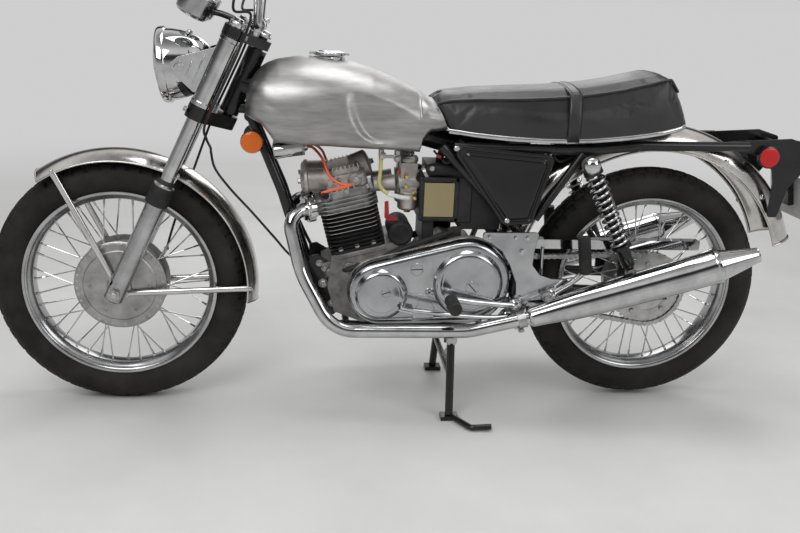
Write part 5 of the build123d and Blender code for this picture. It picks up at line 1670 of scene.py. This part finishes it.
def make_air_box():
    frame_box = Form()
    frame_box.box(at(893, 0, 592), (0.060, 0.180, 0.123))
    frame_box.box(at(838, 0, 592), (0.094, 0.170, 0.118))
    for low, high in ((534, 546), (638, 652)):
        frame_box.box(at(838, 0, (low + high) / 2), (0.100, 0.184, (high - low) / 1000))
    for s in (790, 882):
        frame_box.box(at(s, 0, 593), (0.012, 0.184, 0.118))
    frame_box.box(at(948, 0, 600), (0.110, 0.172, 0.176))
    frame_box.box(at(812, 0, 500), (0.03, 0.150, 0.07))
    frame_box.done("air_box_frame", PLASTIC, bevel=0.003, smooth=35, replaces=("air_box",))
    tube = Form()
    path = smooth_line([at(790, -62, 640), at(800, -76, 662), at(826, -82, 672),
        at(880, -84, 668), at(930, -82, 658)], 8)
    tube.tube(path, 0.0165, 20)
    tube.lathe(at(842.4, 0, 675), (7.5, 0, 30), mm((0, 10), (31, 10)), 16)
    tube.box(at(850, 0, 664), (0.084, 0.160, 0.022))
    tube.done("intake_tube", BLACK_FIN, smooth=50)
    mesh = Form()
    for side in SIDES:
        rows = []
        for s in (796, 800, 836, 872, 876):
            proud = 89.5 if s in (796, 876) else 91.5
            rows.append([at(s, side * proud, z) for z in (547, 590, 637)])
        mesh.grid(rows)
    mesh.done("filter_mesh", FILTER, smooth=40)
    clips = Form()
    for spot in (at(792, -80, 670), at(812, -98, 676)):
        clips.hexagon(spot, -ACROSS, 0.010, 0.006)
    clips.lathe(at(800, -76, 662), (0.8, -0.2, 0.4), mm((-4, 18), (4, 18)), 28)
    clips.done("intake_clips", STEEL)


make_carburettors()
make_fuel_line()
make_air_box()


# Exhaust
FOOT_Y = 146
CAN_FRONT, CAN_BACK = (1074, 198, 303), (1673, 210, 486)
ROSE_STEPS, ROSE_SLOT = 120, 6.0
ROSE_PROFILE = ((0, 21, 0), (0, 33, 0), (1.5, 36, 1), (16, 36, 1), (19, 33, 0.8),
    (21, 26, 0), (21, 18.5, 0))


def make_rose(side):
    """Slotted nut where the header enters the head."""
    start = on_engine(-80, 128.3, side * 58)
    out = (at(440, side * 92, 552) - start).normalized()
    rose = Form()
    rows = []
    one, two = square_to(out)
    centre = start + out * 0.013
    for along, radius, notch in ROSE_PROFILE:
        row = []
        for k in range(ROSE_STEPS):
            a = 2 * pi * k / ROSE_STEPS
            depth = ROSE_SLOT * notch if k % 12 < 5 else 0.0
            row.append(centre + out * (along / 1000) + (one * cos(a) + two * sin(a))
                       * ((radius - depth) / 1000))
        rows.append(row)
    rose.grid(rows, close_columns=True)
    rose.done(f"exhaust_rose_{WORD[side]}", CHROME)


def make_silencer(side):
    word = WORD[side]
    begin = mirrored(CAN_FRONT, side)
    axis = (mirrored(CAN_BACK, side) - begin).normalized()
    start = begin + axis * 0.0013
    can = Form()
    can.lathe(start, axis, mm((0, 19.6), (0, 21), (3, 23.4), (5, 25.6), (12, 26.6), (30, 28), (70, 32.2),
        (126, 37.5), (200, 40.6), (280, 42.5),
                              (360, 43.9), (432, 44.5), (499, 44.5), (502, 45.6), (504.5, 47), (510,
                                  47.4), (514, 46.6), (515.6, 43.4), (517, 42),
                              (560, 33), (600, 24.4), (616, 21), (620, 20.6), (623, 20.8), (624,
                                  19.4), (621, 16.5), (560, 15)), 72)
    can.done(f"silencer_can_{word}", CHROME, smooth=24, replaces=("silencers",))
    clamp = Form()
    clamp.lathe(begin - axis * 0.030, axis, mm((0, 19), (0, 21.5), (22, 21.5), (22, 19)), 40)
    lug = begin - axis * 0.019 - UP * 0.026
    clamp.box(lug, (0.016, 0.012, 0.014), along=axis)
    clamp.hexagon(lug + OUT[side] * 0.006, OUT[side], 0.010, 0.006)
    hang = at(1128, side * 190, 348)
    clamp.lathe(at(1128, side * (FOOT_Y + 5.3), 348), OUT[side],
                mm((0, 13), (10, 13), (12, 8), (40, 7)), 24)
    clamp.hexagon(hang - OUT[side] * 0.004, OUT[side], 0.016, 0.010)
    clamp.box(at(1130, side * 190, 334), (0.028, 0.005, 0.044))
    clamp.done(f"exhaust_clamp_{word}", STEEL, bevel=0.0006)


for exhaust_side in SIDES:
    make_rose(exhaust_side)
    make_silencer(exhaust_side)

# Handlebar controls and cables
BAR_MID = on_leg(772, 0, 44)
BAR_END = BAR_MID + Vector((0.118, 0.330, 0.092))
BAR_OUT = Vector((0.092, 0.124, -0.012)).normalized()
PERCH_IN, PIVOT_AHEAD, CABLE_IN = 0.162, 0.034, 0.026


def bar_side(side):
    """End of the bar, the way outwards and the way forwards on one side."""
    end = Vector((BAR_END.x, side * BAR_END.y, BAR_END.z))
    out = Vector((BAR_OUT.x, side * BAR_OUT.y, BAR_OUT.z))
    ahead = Vector((-BAR_OUT.y, side * BAR_OUT.x, 0)).normalized()
    return end, out, ahead


def make_grips():
    grips, perches, levers = Form(), Form(), Form()
    for side in SIDES:
        end, out, ahead = bar_side(side)
        profile = [(-114, 13), (-113.6, 20), (-110, 21), (-107, 18)]
        for k in range(17):
            start = -104 + 5.9 * k
            profile += [(start, 15.3), (start + 0.8, 16.7), (start + 3.4, 16.7), (start + 4.2, 15.3)]
        profile += [(-3, 15.4), (-2, 17.5), (1, 17.5), (2.4, 14), (2.6, 1)]
        grips.lathe(end, out, mm(*profile), 32)
        perch = end - out * PERCH_IN
        perches.lathe(perch - out * 0.016, out, mm((0, 15), (2, 18), (30, 18), (32, 15)), 28)
        perches.lathe(end - out * 0.144, out, mm((0, 16), (2, 21), (24, 21), (26, 17)), 28)
        perches.box(end - out * 0.131 + UP * 0.016, (0.018, 0.016, 0.012), along=out)
        pivot = perch + ahead * PIVOT_AHEAD
        perches.tube([perch + ahead * 0.012, pivot], [0.010, 0.009], 14)
        perches.lathe(pivot - UP * 0.009, UP, mm((0, 12), (1.5, 13), (16.5, 13), (18, 12)), 24)
        perches.hexagon(pivot + UP * 0.009, UP, 0.011, 0.006)
        perches.lathe(pivot - out * CABLE_IN, out, mm((0, 5), (3, 6.5), (15, 6.5), (18, 4.5)), 16)
        line = smooth_line([pivot, pivot + out * 0.036 + ahead * 0.022, pivot + out * 0.09 + ahead * 0.019,
            pivot + out * 0.148 + ahead * 0.011], 8)
        count = len(line)
        levers.tube(line, [0.0072 - 0.0018 * k / count for k in range(count)], 12)
        levers.lathe(line[-1] - out * 0.004, out,
            mm((0, 4), (2, 7), (7, 9), (12, 7.4), (14.5, 3), (15, 1)), 18)
    grips.done("grip_rubbers", RUBBER, "steering_head", replaces=("grips",))
    perches.done("lever_perches", PAINT, "steering_head", bevel=0.0006, smooth=35)
    levers.done("hand_levers", CHROME, "steering_head", smooth=50)


def make_bar_clamps():
    clamps = Form()
    for side in SIDES:
        clamp = BAR_MID + OUT[side] * 0.034
        clamps.lathe(clamp - ACROSS * 0.012, ACROSS, mm((0, 17), (1.5, 19.5), (22.5, 19.5), (24, 17)), 32)
        for along in (-0.015, 0.015):
            clamps.hexagon(clamp + FORK_BACK * along + FORK_AXIS * 0.015, FORK_AXIS, 0.010, 0.007)
        clamps.lathe(on_leg(746, side * LEG_Y), FORK_AXIS,
            mm((0, 20), (3, 21), (10, 21), (13, 18), (16, 11), (17, 1)), 32)
        clamps.hexagon(on_leg(763, side * LEG_Y), FORK_AXIS, 0.022, 0.006)
    clamps.lathe(on_leg(752, 0, 66), FORK_AXIS, mm((0, 20), (6, 20), (8, 17), (14, 16),
        (16, 12), (16.5, 1)), 32)
    clamps.done("bar_clamps", CHROME, "steering_head", smooth=32)


def make_cables():
    cables = Form()
    for side in SIDES:
        end, out, ahead = bar_side(side)
        tip = end - out * PERCH_IN + ahead * PIVOT_AHEAD - out * CABLE_IN
        first = [tip, tip - out * 0.05, at(322, side * 190, 1092), at(316, side * 140, 1050),
                 on_leg(790, side * 118, 22)]
        first += [on_leg(along, side * 110, 30) for along in (700, 600, 500)]
        if side < 0:
            last = [on_leg(466, -84, 46), on_leg(440, -30, 62), on_leg(428, -6, 66)]
        else:
            last = [on_leg(330, 88, 44), on_leg(200, 72, 54), on_leg(118, 56, 66)]
        cables.tube(smooth_line(first + last, 8), 0.0033, 10)
    cables.done("control_cables", RUBBER, "steering_head", smooth=60)


def make_frame_wiring():
    frame_cable = Form()
    frame_cable.bent([on_leg(426, -6, 67), at(252, -20, 650), at(290, -30, 600),
        at(345, -34, 540), at(405, -34, 470),
                                  at(450, -32, 418), at(502, -30, 387)], 0.0033, 10)
    frame_cable.bent([at(352, 30, 720), at(400, 44, 640), at(440, 60, 560), at(500, 70, 430),
        at(560, 70, 330)], 0.0045, 10)
    frame_cable.done("frame_wiring", RUBBER, smooth=60)


make_grips()
make_bar_clamps()
make_cables()
make_frame_wiring()


# Fork, front mudguard and small parts at the front
DUST_CAP_UP, STANCHION_UP, STANCHION_LONG, STANCHION_R = 258, 318, 182, 17.9
GUARD_FROM, GUARD_ARC, STAY_ANGLES = -7, 131, (116, 0)
GUARD_EDGE_R, GUARD_CREST_R, GUARD_EDGE_Y, BEAD_R = 0.3362, 0.3618, 0.0608, 0.0026


def make_fork_trim():
    fork = Form()
    for side in SIDES:
        y = side * LEG_Y
        fork.lathe(on_leg(DUST_CAP_UP, y), FORK_AXIS, mm((0, 25.5), (2, 29), (10, 30.4), (14, 29.4),
            (40, 29), (46, 28.6), (52, 28.6), (60, 24), (68, 19.5),
                                                  (72, 17.3)), 40)
    fork.done("fork_dust_caps", RUBBER, "steering_head")
    stanchion = Form()
    for side in SIDES:
        stanchion.lathe(on_leg(STANCHION_UP, side * LEG_Y), FORK_AXIS,
            mm((0, STANCHION_R), (STANCHION_LONG, STANCHION_R)), 40)
    stanchion.done("fork_stanchions", CHROME, "steering_head", smooth=40)
    shroud = Form()
    for side in SIDES:
        rows = mm((534.5, 24.4), (536, 26.4), (546, 26.6), (548, 24.6), (708, 24.6), (710, 26.4),
                  (719, 26.2), (721.5, 24.2))
        shroud.lathe(FRONT_HUB + ACROSS * (side * LEG_Y / 1000), FORK_AXIS, rows, 40)
    shroud.done("fork_shrouds", CHROME, "steering_head", smooth=32)


def make_fork_bolts():
    bolts = Form()
    for side in SIDES:
        y = side * LEG_Y
        for spot in (on_leg(517, y + side * 20, -24), on_leg(734, y, 28)):
            bolts.hexagon(spot, FORK_BACK if spot.z > 0.9 else -FORK_BACK, 0.012, 0.008)
        bolts.hexagon(on_leg(-10, y + side * 23.5, 0), OUT[side], 0.009, 0.005)
        bolts.hexagon(on_leg(-27, y), -FORK_AXIS, 0.014, 0.007)
        bolts.lathe(on_leg(20, y + side * 12, -22), -FORK_BACK, mm((0, 7), (4, 7), (5, 5)), 14)
        for spot in (Vector((-0.797, side * 0.069, 0.360)), Vector((-0.767, side * 0.069, 0.318))):
            bolts.hexagon(spot + OUT[side] * 0.001, -OUT[side], 0.011, 0.006)
        for up in (214, 252):
            bolts.hexagon(on_leg(up, y - side * 14, -18), -FORK_BACK, 0.010, 0.006)
        bolts.lathe(FRONT_HUB + OUT[side] * 0.1176, OUT[side],
                    mm((0, 17), (1.6, 17), (1.6, 10), (2, 10)), 28)
        bolts.lathe(FRONT_HUB + OUT[side] * 0.128, OUT[side],
                    mm((0, 8.5), (6, 8.5), (7.4, 7), (7.6, 1)), 20)
    bolts.done("fork_bolts", STEEL, "steering_head")


def make_front_guard():
    guard = Form()
    for side in SIDES:
        angles = [radians(GUARD_FROM + GUARD_ARC * k / 64) for k in range(65)]
        guard.tube([around(FRONT_HUB, a, GUARD_EDGE_R, side * GUARD_EDGE_Y) for a in angles], BEAD_R, 8)
        for a in (STAY_ANGLES[0], STAY_ANGLES[1], 62):
            guard.hexagon(around(FRONT_HUB, radians(a), 0.343, side * 0.0625), OUT[side], 0.009, 0.005)
    for angle in (GUARD_FROM, GUARD_FROM + GUARD_ARC):
        arc = []
        for k in range(13):
            share = k / 6 - 1
            arc.append(around(FRONT_HUB, radians(angle),
                GUARD_CREST_R - 0.0256 * share ** 2, share * GUARD_EDGE_Y))
        guard.tube(arc, BEAD_R, 8)
    stays = Form()
    for side in SIDES:
        low_y, high_y = side * 0.0612, side * 0.060
        for (x, z), angle in zip(((-0.014, 0.026), (0.016, -0.016)), STAY_ANGLES):
            foot = FRONT_HUB + Vector((x, low_y, z))
            tip = around(FRONT_HUB, radians(angle), 0.340, high_y)
            run = (tip - foot).normalized()
            wide = run.cross(ACROSS).normalized()
            ends = [foot + (tip - foot) * t for t in (0, 0.03, 0.94, 0.985, 1)]
            rows = []
            for spot, half in zip(ends, (7.0, 8.4, 8.4, 9.0, 7.6)):
                turns = [2 * pi * k / 16 for k in range(16)]
                rows.append([spot + wide * (cos(a) * half / 1000) + ACROSS
                    * (sin(a) * 0.0062) for a in turns])
            stays.grid(rows, close_columns=True, caps=True)
    stays.done("front_guard_stays", BRIGHT, "steering_head", smooth=50)
    guard.done("front_guard_beads", STAINLESS, "steering_head", smooth=50)


def make_brake_face():
    plate = Form()
    plate.lathe(FRONT_HUB + ACROSS * 0.0525, ACROSS, mm((0, 112), (1.4, 113), (3, 108), (3.4, 90), (5, 86),
        (5.4, 60), (7.4, 54), (7.8, 36), (11, 31),
                                                        (11.6, 18)), 72)
    for k in range(5):
        a = radians(200 + 22 * k)
        plate.box(around(FRONT_HUB, a, 0.078, 0.057), (0.018, 0.004, 0.010), along=(-sin(a), 0, cos(a)))
    plate.box(on_leg(36, 60, 58), (0.016, 0.006, 0.010), along=FORK_AXIS)
    plate.tube([on_leg(36, 63, 58), on_leg(112, 63, 66)], [0.0062, 0.0045], 12)
    plate.hexagon(on_leg(36, 64, 58), ACROSS, 0.014, 0.006)
    plate.hexagon(on_leg(112, 64, 66), ACROSS, 0.010, 0.006)
    plate.done("brake_plate_face", BRIGHT, "steering_head", bevel=0.0006, smooth=34)


def make_lamp_ears():
    ears = Form()
    low, high = on_leg(560), on_leg(700)
    for side in SIDES:
        y = side * 0.0985
        outline = [LAMP_PIVOT + Vector((-0.017, 0, 0.010)), LAMP_PIVOT + Vector((-0.012, 0, -0.016)),
                   low + Vector((-0.026, 0, 0.012)), low + Vector((0.012, 0, 0.008)),
                   high + Vector((0.010, 0, -0.006)), high + Vector((-0.024, 0,
                       -0.004)), LAMP_PIVOT + Vector((0.0, 0, 0.024))]
        ears.plate([Vector((p.x, y, p.z)) for p in outline], OUT[side] * 0.0028)
        for share in (0.3, 0.55, 0.8):
            start = LAMP_PIVOT.lerp(low, share)
            end = LAMP_PIVOT.lerp(high, share)
            ears.tube([Vector((start.x, y + side * 0.003, start.z)),
                       Vector((end.x, y + side * 0.003, end.z))], 0.0018, 8)
        ears.lathe(Vector((LAMP_PIVOT.x, y + side * 0.003, LAMP_PIVOT.z)), OUT[side],
                   mm((0, 15), (2, 15), (2.6, 10)), 28)
    ears.done("lamp_ears", CHROME, "steering_head", bevel=0.0006, smooth=34)


def make_front_reflectors():
    amber = Form()
    for side in SIDES:
        spot = at(350, side * 66, 728)
        amber.lathe(spot - OUT[side] * 0.0078, OUT[side],
                    mm((0, 26), (2, 28), (10, 28), (13, 26.6), (15.6, 22), (16, 1)), 48)
    amber.done("front_reflector_lenses", AMBER, replaces=("front_reflectors",))
    stalk = Form()
    for side in SIDES:
        stalk.tube([at(363.2, side * 42.05, 730.2), at(353, side * 60, 728)], 0.006, 12)
        stalk.lathe(at(350, side * 57.6, 728), OUT[side], mm((0, 24), (1, 29.4), (5, 29.6), (8, 28.4)), 40)
    stalk.done("front_reflector_backs", PAINT, smooth=34)


def make_coils():
    coils = Form()
    for side in SIDES:
        start, end = at(404, side * 22, 699), at(482, side * 22, 712)
        run = (end - start).normalized()
        coils.lathe(start, run, mm((-2, 14), (0, 20), (3, 21.4), (72, 21.4), (76, 20),
            (80, 12), (88, 9), (90, 5)), 28)
    coils.done("coil_cans", CHROME, smooth=32, slot="cast_alloy")


make_fork_trim()
make_fork_bolts()
make_front_guard()
make_brake_face()
make_lamp_ears()
make_front_reflectors()
make_coils()

# Foot plates, pedals and footrests
RIB_DEEP = 0.0012
FOOT_OUTLINE = (
    (949, 520), (1097, 522), (1087, 470), (1085, 434), (1107, 407), (1141, 396), (1182,
        395), (1206, 369), (1201, 343),
    (1081, 335), (1072, 300), (1046, 288), (1010, 272), (1004, 292), (1030, 318), (1046,
        350), (1044, 384), (1024, 433),
    (999, 473), (968, 496), (947, 503))


def make_foot_plates():
    plates, bolts = Form(), Form()
    outline = rounded(FOOT_OUTLINE, 6, 4)
    for side in SIDES:
        plates.stack(outline, ((0.8, 141), (0, 141.8), (0, 150), (1.0, 151)), side)
        for share, radius in ((0.86, 9), (0.34, 12)):
            foot = at(1044 + 12 * share, side * 120, 240 + 268 * share)
            plates.lathe(foot, OUT[side], mm((0, radius), (24, radius)), 24)
        plates.lathe(at(1022, side * 150, 296), OUT[side], mm((0, 16), (4, 16), (6, 14)), 32)
        plates.lathe(at(1046, side * 150, 326), OUT[side], mm((0, 17), (4, 17), (5, 15)), 32)
        plates.lathe(at(1146, side * 150, 357), OUT[side], mm((0, 18), (3, 18), (4, 16)), 32)
        for station, z, size in ((964.3, 508.3, 0.010), (1033.7, 506.8, 0.010), (1065.9, 507.2, 0.010),
            (1128, 348, 0.012), (1054, 470, 0.014),
                                 (1058, 342, 0.012)):
            bolts.hexagon(at(station, side * 151, z), OUT[side], size, 0.006)
    plates.done("foot_plates", COVER, smooth=34, replaces=("footrest_plates",))
    bolts.done("foot_plate_bolts", CHROME, slot="steel")


def ribbed(form, start, end, radius, rings):
    """Footrest rubber with moulded rings and a domed end."""
    run = (end - start).normalized()
    length = (end - start).length
    step = length / rings
    profile = [(0, radius * 0.8), (0.001, radius)]
    for k in range(rings):
        profile += [(step * (k + share), radius - low) for share,
                    low in ((0.25, 0), (0.35, RIB_DEEP), (0.65, RIB_DEEP), (0.75, 0))]
    profile += [(length, radius), (length + 0.003, radius * 0.85), (length + 0.0035, 0.001)]
    form.lathe(start, run, profile, 28)


def make_footrests():
    rubbers, arms = Form(), Form()
    for side in SIDES:
        ribbed(rubbers, at(862, side * 214, 356), at(862, side * 288, 357), 0.0172, 12)
        ribbed(rubbers, at(1208, side * 178, 520), at(1222, side * 178, 424), 0.0168, 14)
        arms.bent([at(1046, side * 159, 326), at(1010, side * 170, 330), at(930, side * 186, 342),
                   at(880, side * 196, 352),
                               at(862, side * 206, 355), at(862, side * 218, 356)], 0.0088, 16, 6)
        arms.lathe(at(1046, side * 152, 326), OUT[side], mm((0, 13), (14, 13), (16, 11)), 28)
        arms.bent([at(1146, side * 159, 357), at(1180, side * 168, 385), at(1212, side * 174, 416),
                   at(1221, side * 176, 430)], 0.0078, 14, 6)
        arms.lathe(at(1146, side * 151, 357), OUT[side], mm((0, 12), (12, 12), (14, 10)), 24)
        arms.hexagon(at(1146, side * 165, 357), OUT[side], 0.013, 0.006)
        arms.hexagon(at(1046, side * 168, 326), OUT[side], 0.014, 0.006)
    rubbers.done("footrest_rubbers", RUBBER, replaces=("footrests",))
    arms.done("footrest_arms", CHROME, smooth=40)


def make_pedals():
    pedal = Form()
    pedal.lathe(at(1024, -151.5, 296), -ACROSS, mm((0, 14), (18, 14), (20, 12)), 28)
    line = smooth_line([at(1024, -166, 296), at(990, -174, 296), at(944, -184, 300), at(880, -193, 308),
        at(800, -206, 322), at(760, -212, 328)], 6)
    pedal.tube(line, 0.0068, 14)
    pedal.tube([at(1024, -166, 296), at(1052, -166, 262)], [0.007, 0.005], 12)
    pedal.plate([at(s, -200, z) for s, z in ((762, 330), (724, 338), (724, 342), (762, 334))],
                -ACROSS * 0.046)
    lever = Form()
    lever.lathe(at(850, 122.5, 350), ACROSS, mm((0, 11), (18, 11), (20, 9)), 24)
    lever.bent([at(850, 133, 350), at(810, 146, 348), at(770, 162, 350), at(742, 168, 352)], 0.0072, 14, 6)
    lever.lathe(at(946, 122.5, 372), ACROSS, mm((0, 14), (18, 14), (20, 12)), 28)
    lever.bent([at(946, 134, 372), at(962, 140, 400), at(990, 158, 460), at(1010, 168, 500)], 0.0088, 16, 6)
    lever.tube([at(1010, 164, 500), at(1010, 182, 500)], 0.0075, 14)
    pedal.done("brake_pedal", CHROME, smooth=40, replaces=("foot_controls",))
    lever.done("right_levers", CHROME, smooth=40)
    pads = Form()
    toe = Form()
    for k in range(7):
        toe.box(at(731 + 4.6 * k, -223, 345.4 - 0.9 * k), (0.0026, 0.042, 0.005))
    toe.box(at(745, -223, 341), (0.034, 0.044, 0.005), along=(1, 0, -0.2))
    toe.done("pedal_tread", CHROME, bevel=0.0005, smooth=34)
    ribbed(pads, at(740, 168, 352), at(740, 204, 352), 0.012, 7)
    ribbed(pads, at(1010, 180, 500), at(1010, 236, 500), 0.0125, 9)
    pads.done("pedal_rubbers", RUBBER, bevel=0.0006, smooth=34)


make_foot_plates()
make_footrests()
make_pedals()

# Rear mudguard, tail and lamp
GUARD_CENTRE = REAR_HUB + Vector((-0.008, 0, 0.016))
GUARD_CROWN, GUARD_HALF, GUARD_DEEP = 441.0, 73.0, 66.0


def guard_row(angle, proud=0.0):
    """Section of the rear mudguard at an angle, raised by a distance."""
    row = []
    out = Vector((cos(angle), 0, sin(angle)))
    for k in range(25):
        y = GUARD_HALF * sin((2 * k / 24 - 1) * pi / 2)
        drop = GUARD_DEEP * (1 - sqrt(max(1 - abs(y / GUARD_HALF) ** 2.6, 0)))
        row.append(GUARD_CENTRE + out * ((GUARD_CROWN + proud - drop) / 1000) + ACROSS * (y / 1000))
    return row


def make_rear_guard():
    skin = Form()
    angles = [radians(18 + 144 * k / 96) for k in range(97)]
    skin.grid([guard_row(a) for a in angles])
    guard = skin.done("rear_guard_skin", STAINLESS, smooth=60, replaces=("rear_mudguard",))
    wall = guard.modifiers.new("wall", "SOLIDIFY")
    wall.thickness = 0.0022
    wall.offset = -1
    beads = Form()
    for pick in (0, 24):
        beads.tube([guard_row(a)[pick] for a in angles], 0.0028, 8)
    beads.tube(guard_row(angles[0], 1.0), 0.0028, 8)
    for side in SIDES:
        for a in (40, 62):
            spot = guard_row(radians(a))[2 if side < 0 else 22]
            beads.lathe(spot, OUT[side], mm((0, 7), (2, 7), (3, 5), (3.4, 1)), 16)
        beads.tube([at(1372, side * 72, 744), at(1372, side * 91, 744)], 0.005, 10)
        beads.tube([at(1480, side * 72, 747), at(1480, side * 91, 747)], 0.005, 10)
    beads.done("rear_guard_beads", STAINLESS, smooth=50)


# Tail lamp sections: station, width, height and corner radius
TAIL_LAMP_Z = 716
TAIL_LENS = ((1858, 78, 60, 12), (1862, 84, 66, 12), (1886, 84, 66, 12),
    (1886, 90, 72, 14), (1890, 92, 74, 14),
             (1895, 90, 72, 16), (1898.6, 82, 64, 18), (1899.5, 60, 44, 18))
TAIL_BASE = ((1848, 70, 52, 10), (1850, 80, 62, 12), (1860, 92, 74, 14),
    (1872, 94, 76, 14), (1873, 90, 72, 14))
PLATE_TILT = radians(10)
PLATE_OUT = Vector((cos(PLATE_TILT), 0, sin(PLATE_TILT)))
PLATE_UP = Vector((-sin(PLATE_TILT), 0, cos(PLATE_TILT)))
PLATE_MIDDLE = at(1850, 0, 606)


def on_plate(y, up, out):
    """Point on the licence plate, in millimetres across, up and out from its middle."""
    return PLATE_MIDDLE + (ACROSS * y + PLATE_UP * up + PLATE_OUT * out) / 1000


def lamp_ring(station, wide, tall, corner):
    """Rounded section of the tail lamp."""
    half, high = wide / 2, tall / 2
    ring = rounded(((-half, -high), (half, -high), (half, high), (-half, high)), corner, 6)
    return [at(station, p.x, TAIL_LAMP_Z + p.y) for p in ring]


def make_tail_frame():
    bracket = Form()
    outline = rounded(((1600, 764), (1780, 776), (1842, 758), (1838, 700), (1790, 640), (1772, 560),
        (1744, 560), (1746, 650), (1738, 690), (1680, 736),
                       (1600, 740)), 8, 4)
    for side in SIDES:
        bracket.stack(outline, ((0.6, 89), (0, 89.6), (0, 92.4), (0.6, 93)), side)
    bracket.box(at(1812, 0, 745), (0.0745, 0.180, 0.004), along=(cos(radians(20)), 0, -sin(radians(20))))
    bracket.box(at(1830, 0, 665), (0.016, 0.06, 0.17), along=PLATE_OUT, up=PLATE_UP)
    bracket.done("tail_frame", PAINT, bevel=0.0008, smooth=34, replaces=("tail_bracket",))


def make_licence_plate():
    plate = Form()
    ring = rounded(((-100, -58), (100, -58), (100, 58), (-100, 58)), 9, 5)
    rows = []
    for inset, deep in ((0.6, -1.4), (0, -0.9), (0, 0.9), (0.6, 1.4)):
        rows.append([on_plate(p.x, p.y, deep) for p in shrunk(ring, inset)])
    plate.grid(rows, close_columns=True, caps=True)
    plate.tube([on_plate(p.x, p.y, 1.2) for p in shrunk(ring, 4)], 0.0011, 6, closed=True)
    plate.done("licence_plate", DULL_PLATE, smooth=34)
    screws = Form()
    for y in (-20, 20):
        screws.screw(on_plate(y, 38, 1.4), PLATE_OUT, 0.0055, 0.003)
    screws.done("licence_screws", STEEL)


def make_tail_lamp():
    lens = Form()
    lens.grid([lamp_ring(*row) for row in TAIL_LENS], close_columns=True, caps=True)
    lens.done("tail_lens", RED, smooth=34, replaces=("tail_lamp",))
    base = Form()
    base.grid([lamp_ring(*row) for row in TAIL_BASE], close_columns=True, caps=True)
    base.done("tail_lamp_base", GLOSS, smooth=34)


def make_rear_reflectors():
    reflectors, backs = Form(), Form()
    for side in SIDES:
        spot = at(1716, side * 93.6, 727)
        backs.lathe(spot, OUT[side], mm((0, 22), (2, 29), (12, 30), (15, 30), (16, 28)), 44)
        reflectors.lathe(spot + OUT[side] * 0.010, OUT[side],
            mm((0, 26), (5, 27), (8, 26), (10, 20), (10.3, 1)), 44)
    reflectors.done("rear_reflector_lenses", RED, smooth=32, replaces=("rear_reflectors",))
    backs.done("rear_reflector_backs", PAINT, smooth=32)


make_rear_guard()
make_tail_frame()
make_licence_plate()
make_tail_lamp()
make_rear_reflectors()


# Swinging arm, brake and stand details
ADJUSTER_Y = 0.1005


def make_axle_nuts():
    arm = Form()
    for side in SIDES:
        arm.hexagon(REAR_HUB + OUT[side] * 0.0988, OUT[side], 0.026, 0.013)
        arm.lathe(REAR_HUB + OUT[side] * 0.111, OUT[side], mm((0, 8.5), (7, 8.5), (8, 7)), 20)
        arm.box(REAR_HUB + Vector((0.050, side * 0.094, 0)), (0.004, 0.014, 0.034))
        arm.tube([REAR_HUB + Vector((0.014, side * ADJUSTER_Y, 0)),
                  REAR_HUB + Vector((0.060, side * ADJUSTER_Y, 0))], 0.003, 10)
        arm.hexagon(REAR_HUB + Vector((0.052, side * ADJUSTER_Y, 0)), (1, 0, 0), 0.009, 0.006)
    arm.done("rear_axle_nuts", STEEL)


def make_brake_rod():
    rod = Form()
    rod.tube([at(1400, 84, 372), at(1250, 92, 330), at(1060, 120, 286)], 0.004, 10)
    rod.tube([at(1440, 82, 300), at(1396, 84, 296)], [0.008, 0.006], 12)
    rod.tube([at(1396, 84, 296), at(1380, 86, 290)], 0.005, 10)
    rod.done("brake_rod", STEEL, smooth=40)


def make_stand_details():
    spring = Form()
    start, end = at(872, -92, 150), at(905, -86, 214)
    spring.tube(coil(start, (end - start).normalized(), 18, 10, (end - start).length, 0.0062), 0.0014, 6)
    spring.done("stand_spring", STEEL, "stand", smooth=60)
    pins = Form()
    for side in SIDES:
        pins.lathe(at(886, side * 121, 208), OUT[side], mm((0, 14), (2, 15), (4, 13), (4.6, 1)), 24)
    pins.done("stand_pins", STEEL, "stand")


def make_rear_wiring():
    wires = Form()
    for side in SIDES:
        wires.bent([at(1130, side * 96, 716), at(1150, side * 88, 700), at(1180, side * 80, 708),
                    at(1240, side * 86, 724),
                                at(1330, side * 88, 742)], 0.0035, 8, 6)
        wires.bent([at(1640, side * 84, 742), at(1690, side * 80, 730), at(1712, side * 84, 727)], 0.003, 8,
                   6)
    wires.bent([at(820, -60, 716), at(836, -84, 700), at(850, -94, 690), at(876, -98, 706)], 0.003, 8, 6)
    wires.done("rear_wiring", RUBBER, smooth=60)
    red = Form()
    red.box(at(828, -96, 708), (0.012, 0.006, 0.008), along=(1, 0, -0.4))
    red.box(at(728, -84, 664), (0.010, 0.006, 0.010), along=(1, 0, 0.6))
    red.done("red_terminals", RED_CAP, bevel=0.0008, smooth=34)


make_axle_nuts()
make_brake_rod()
make_stand_details()
make_rear_wiring()
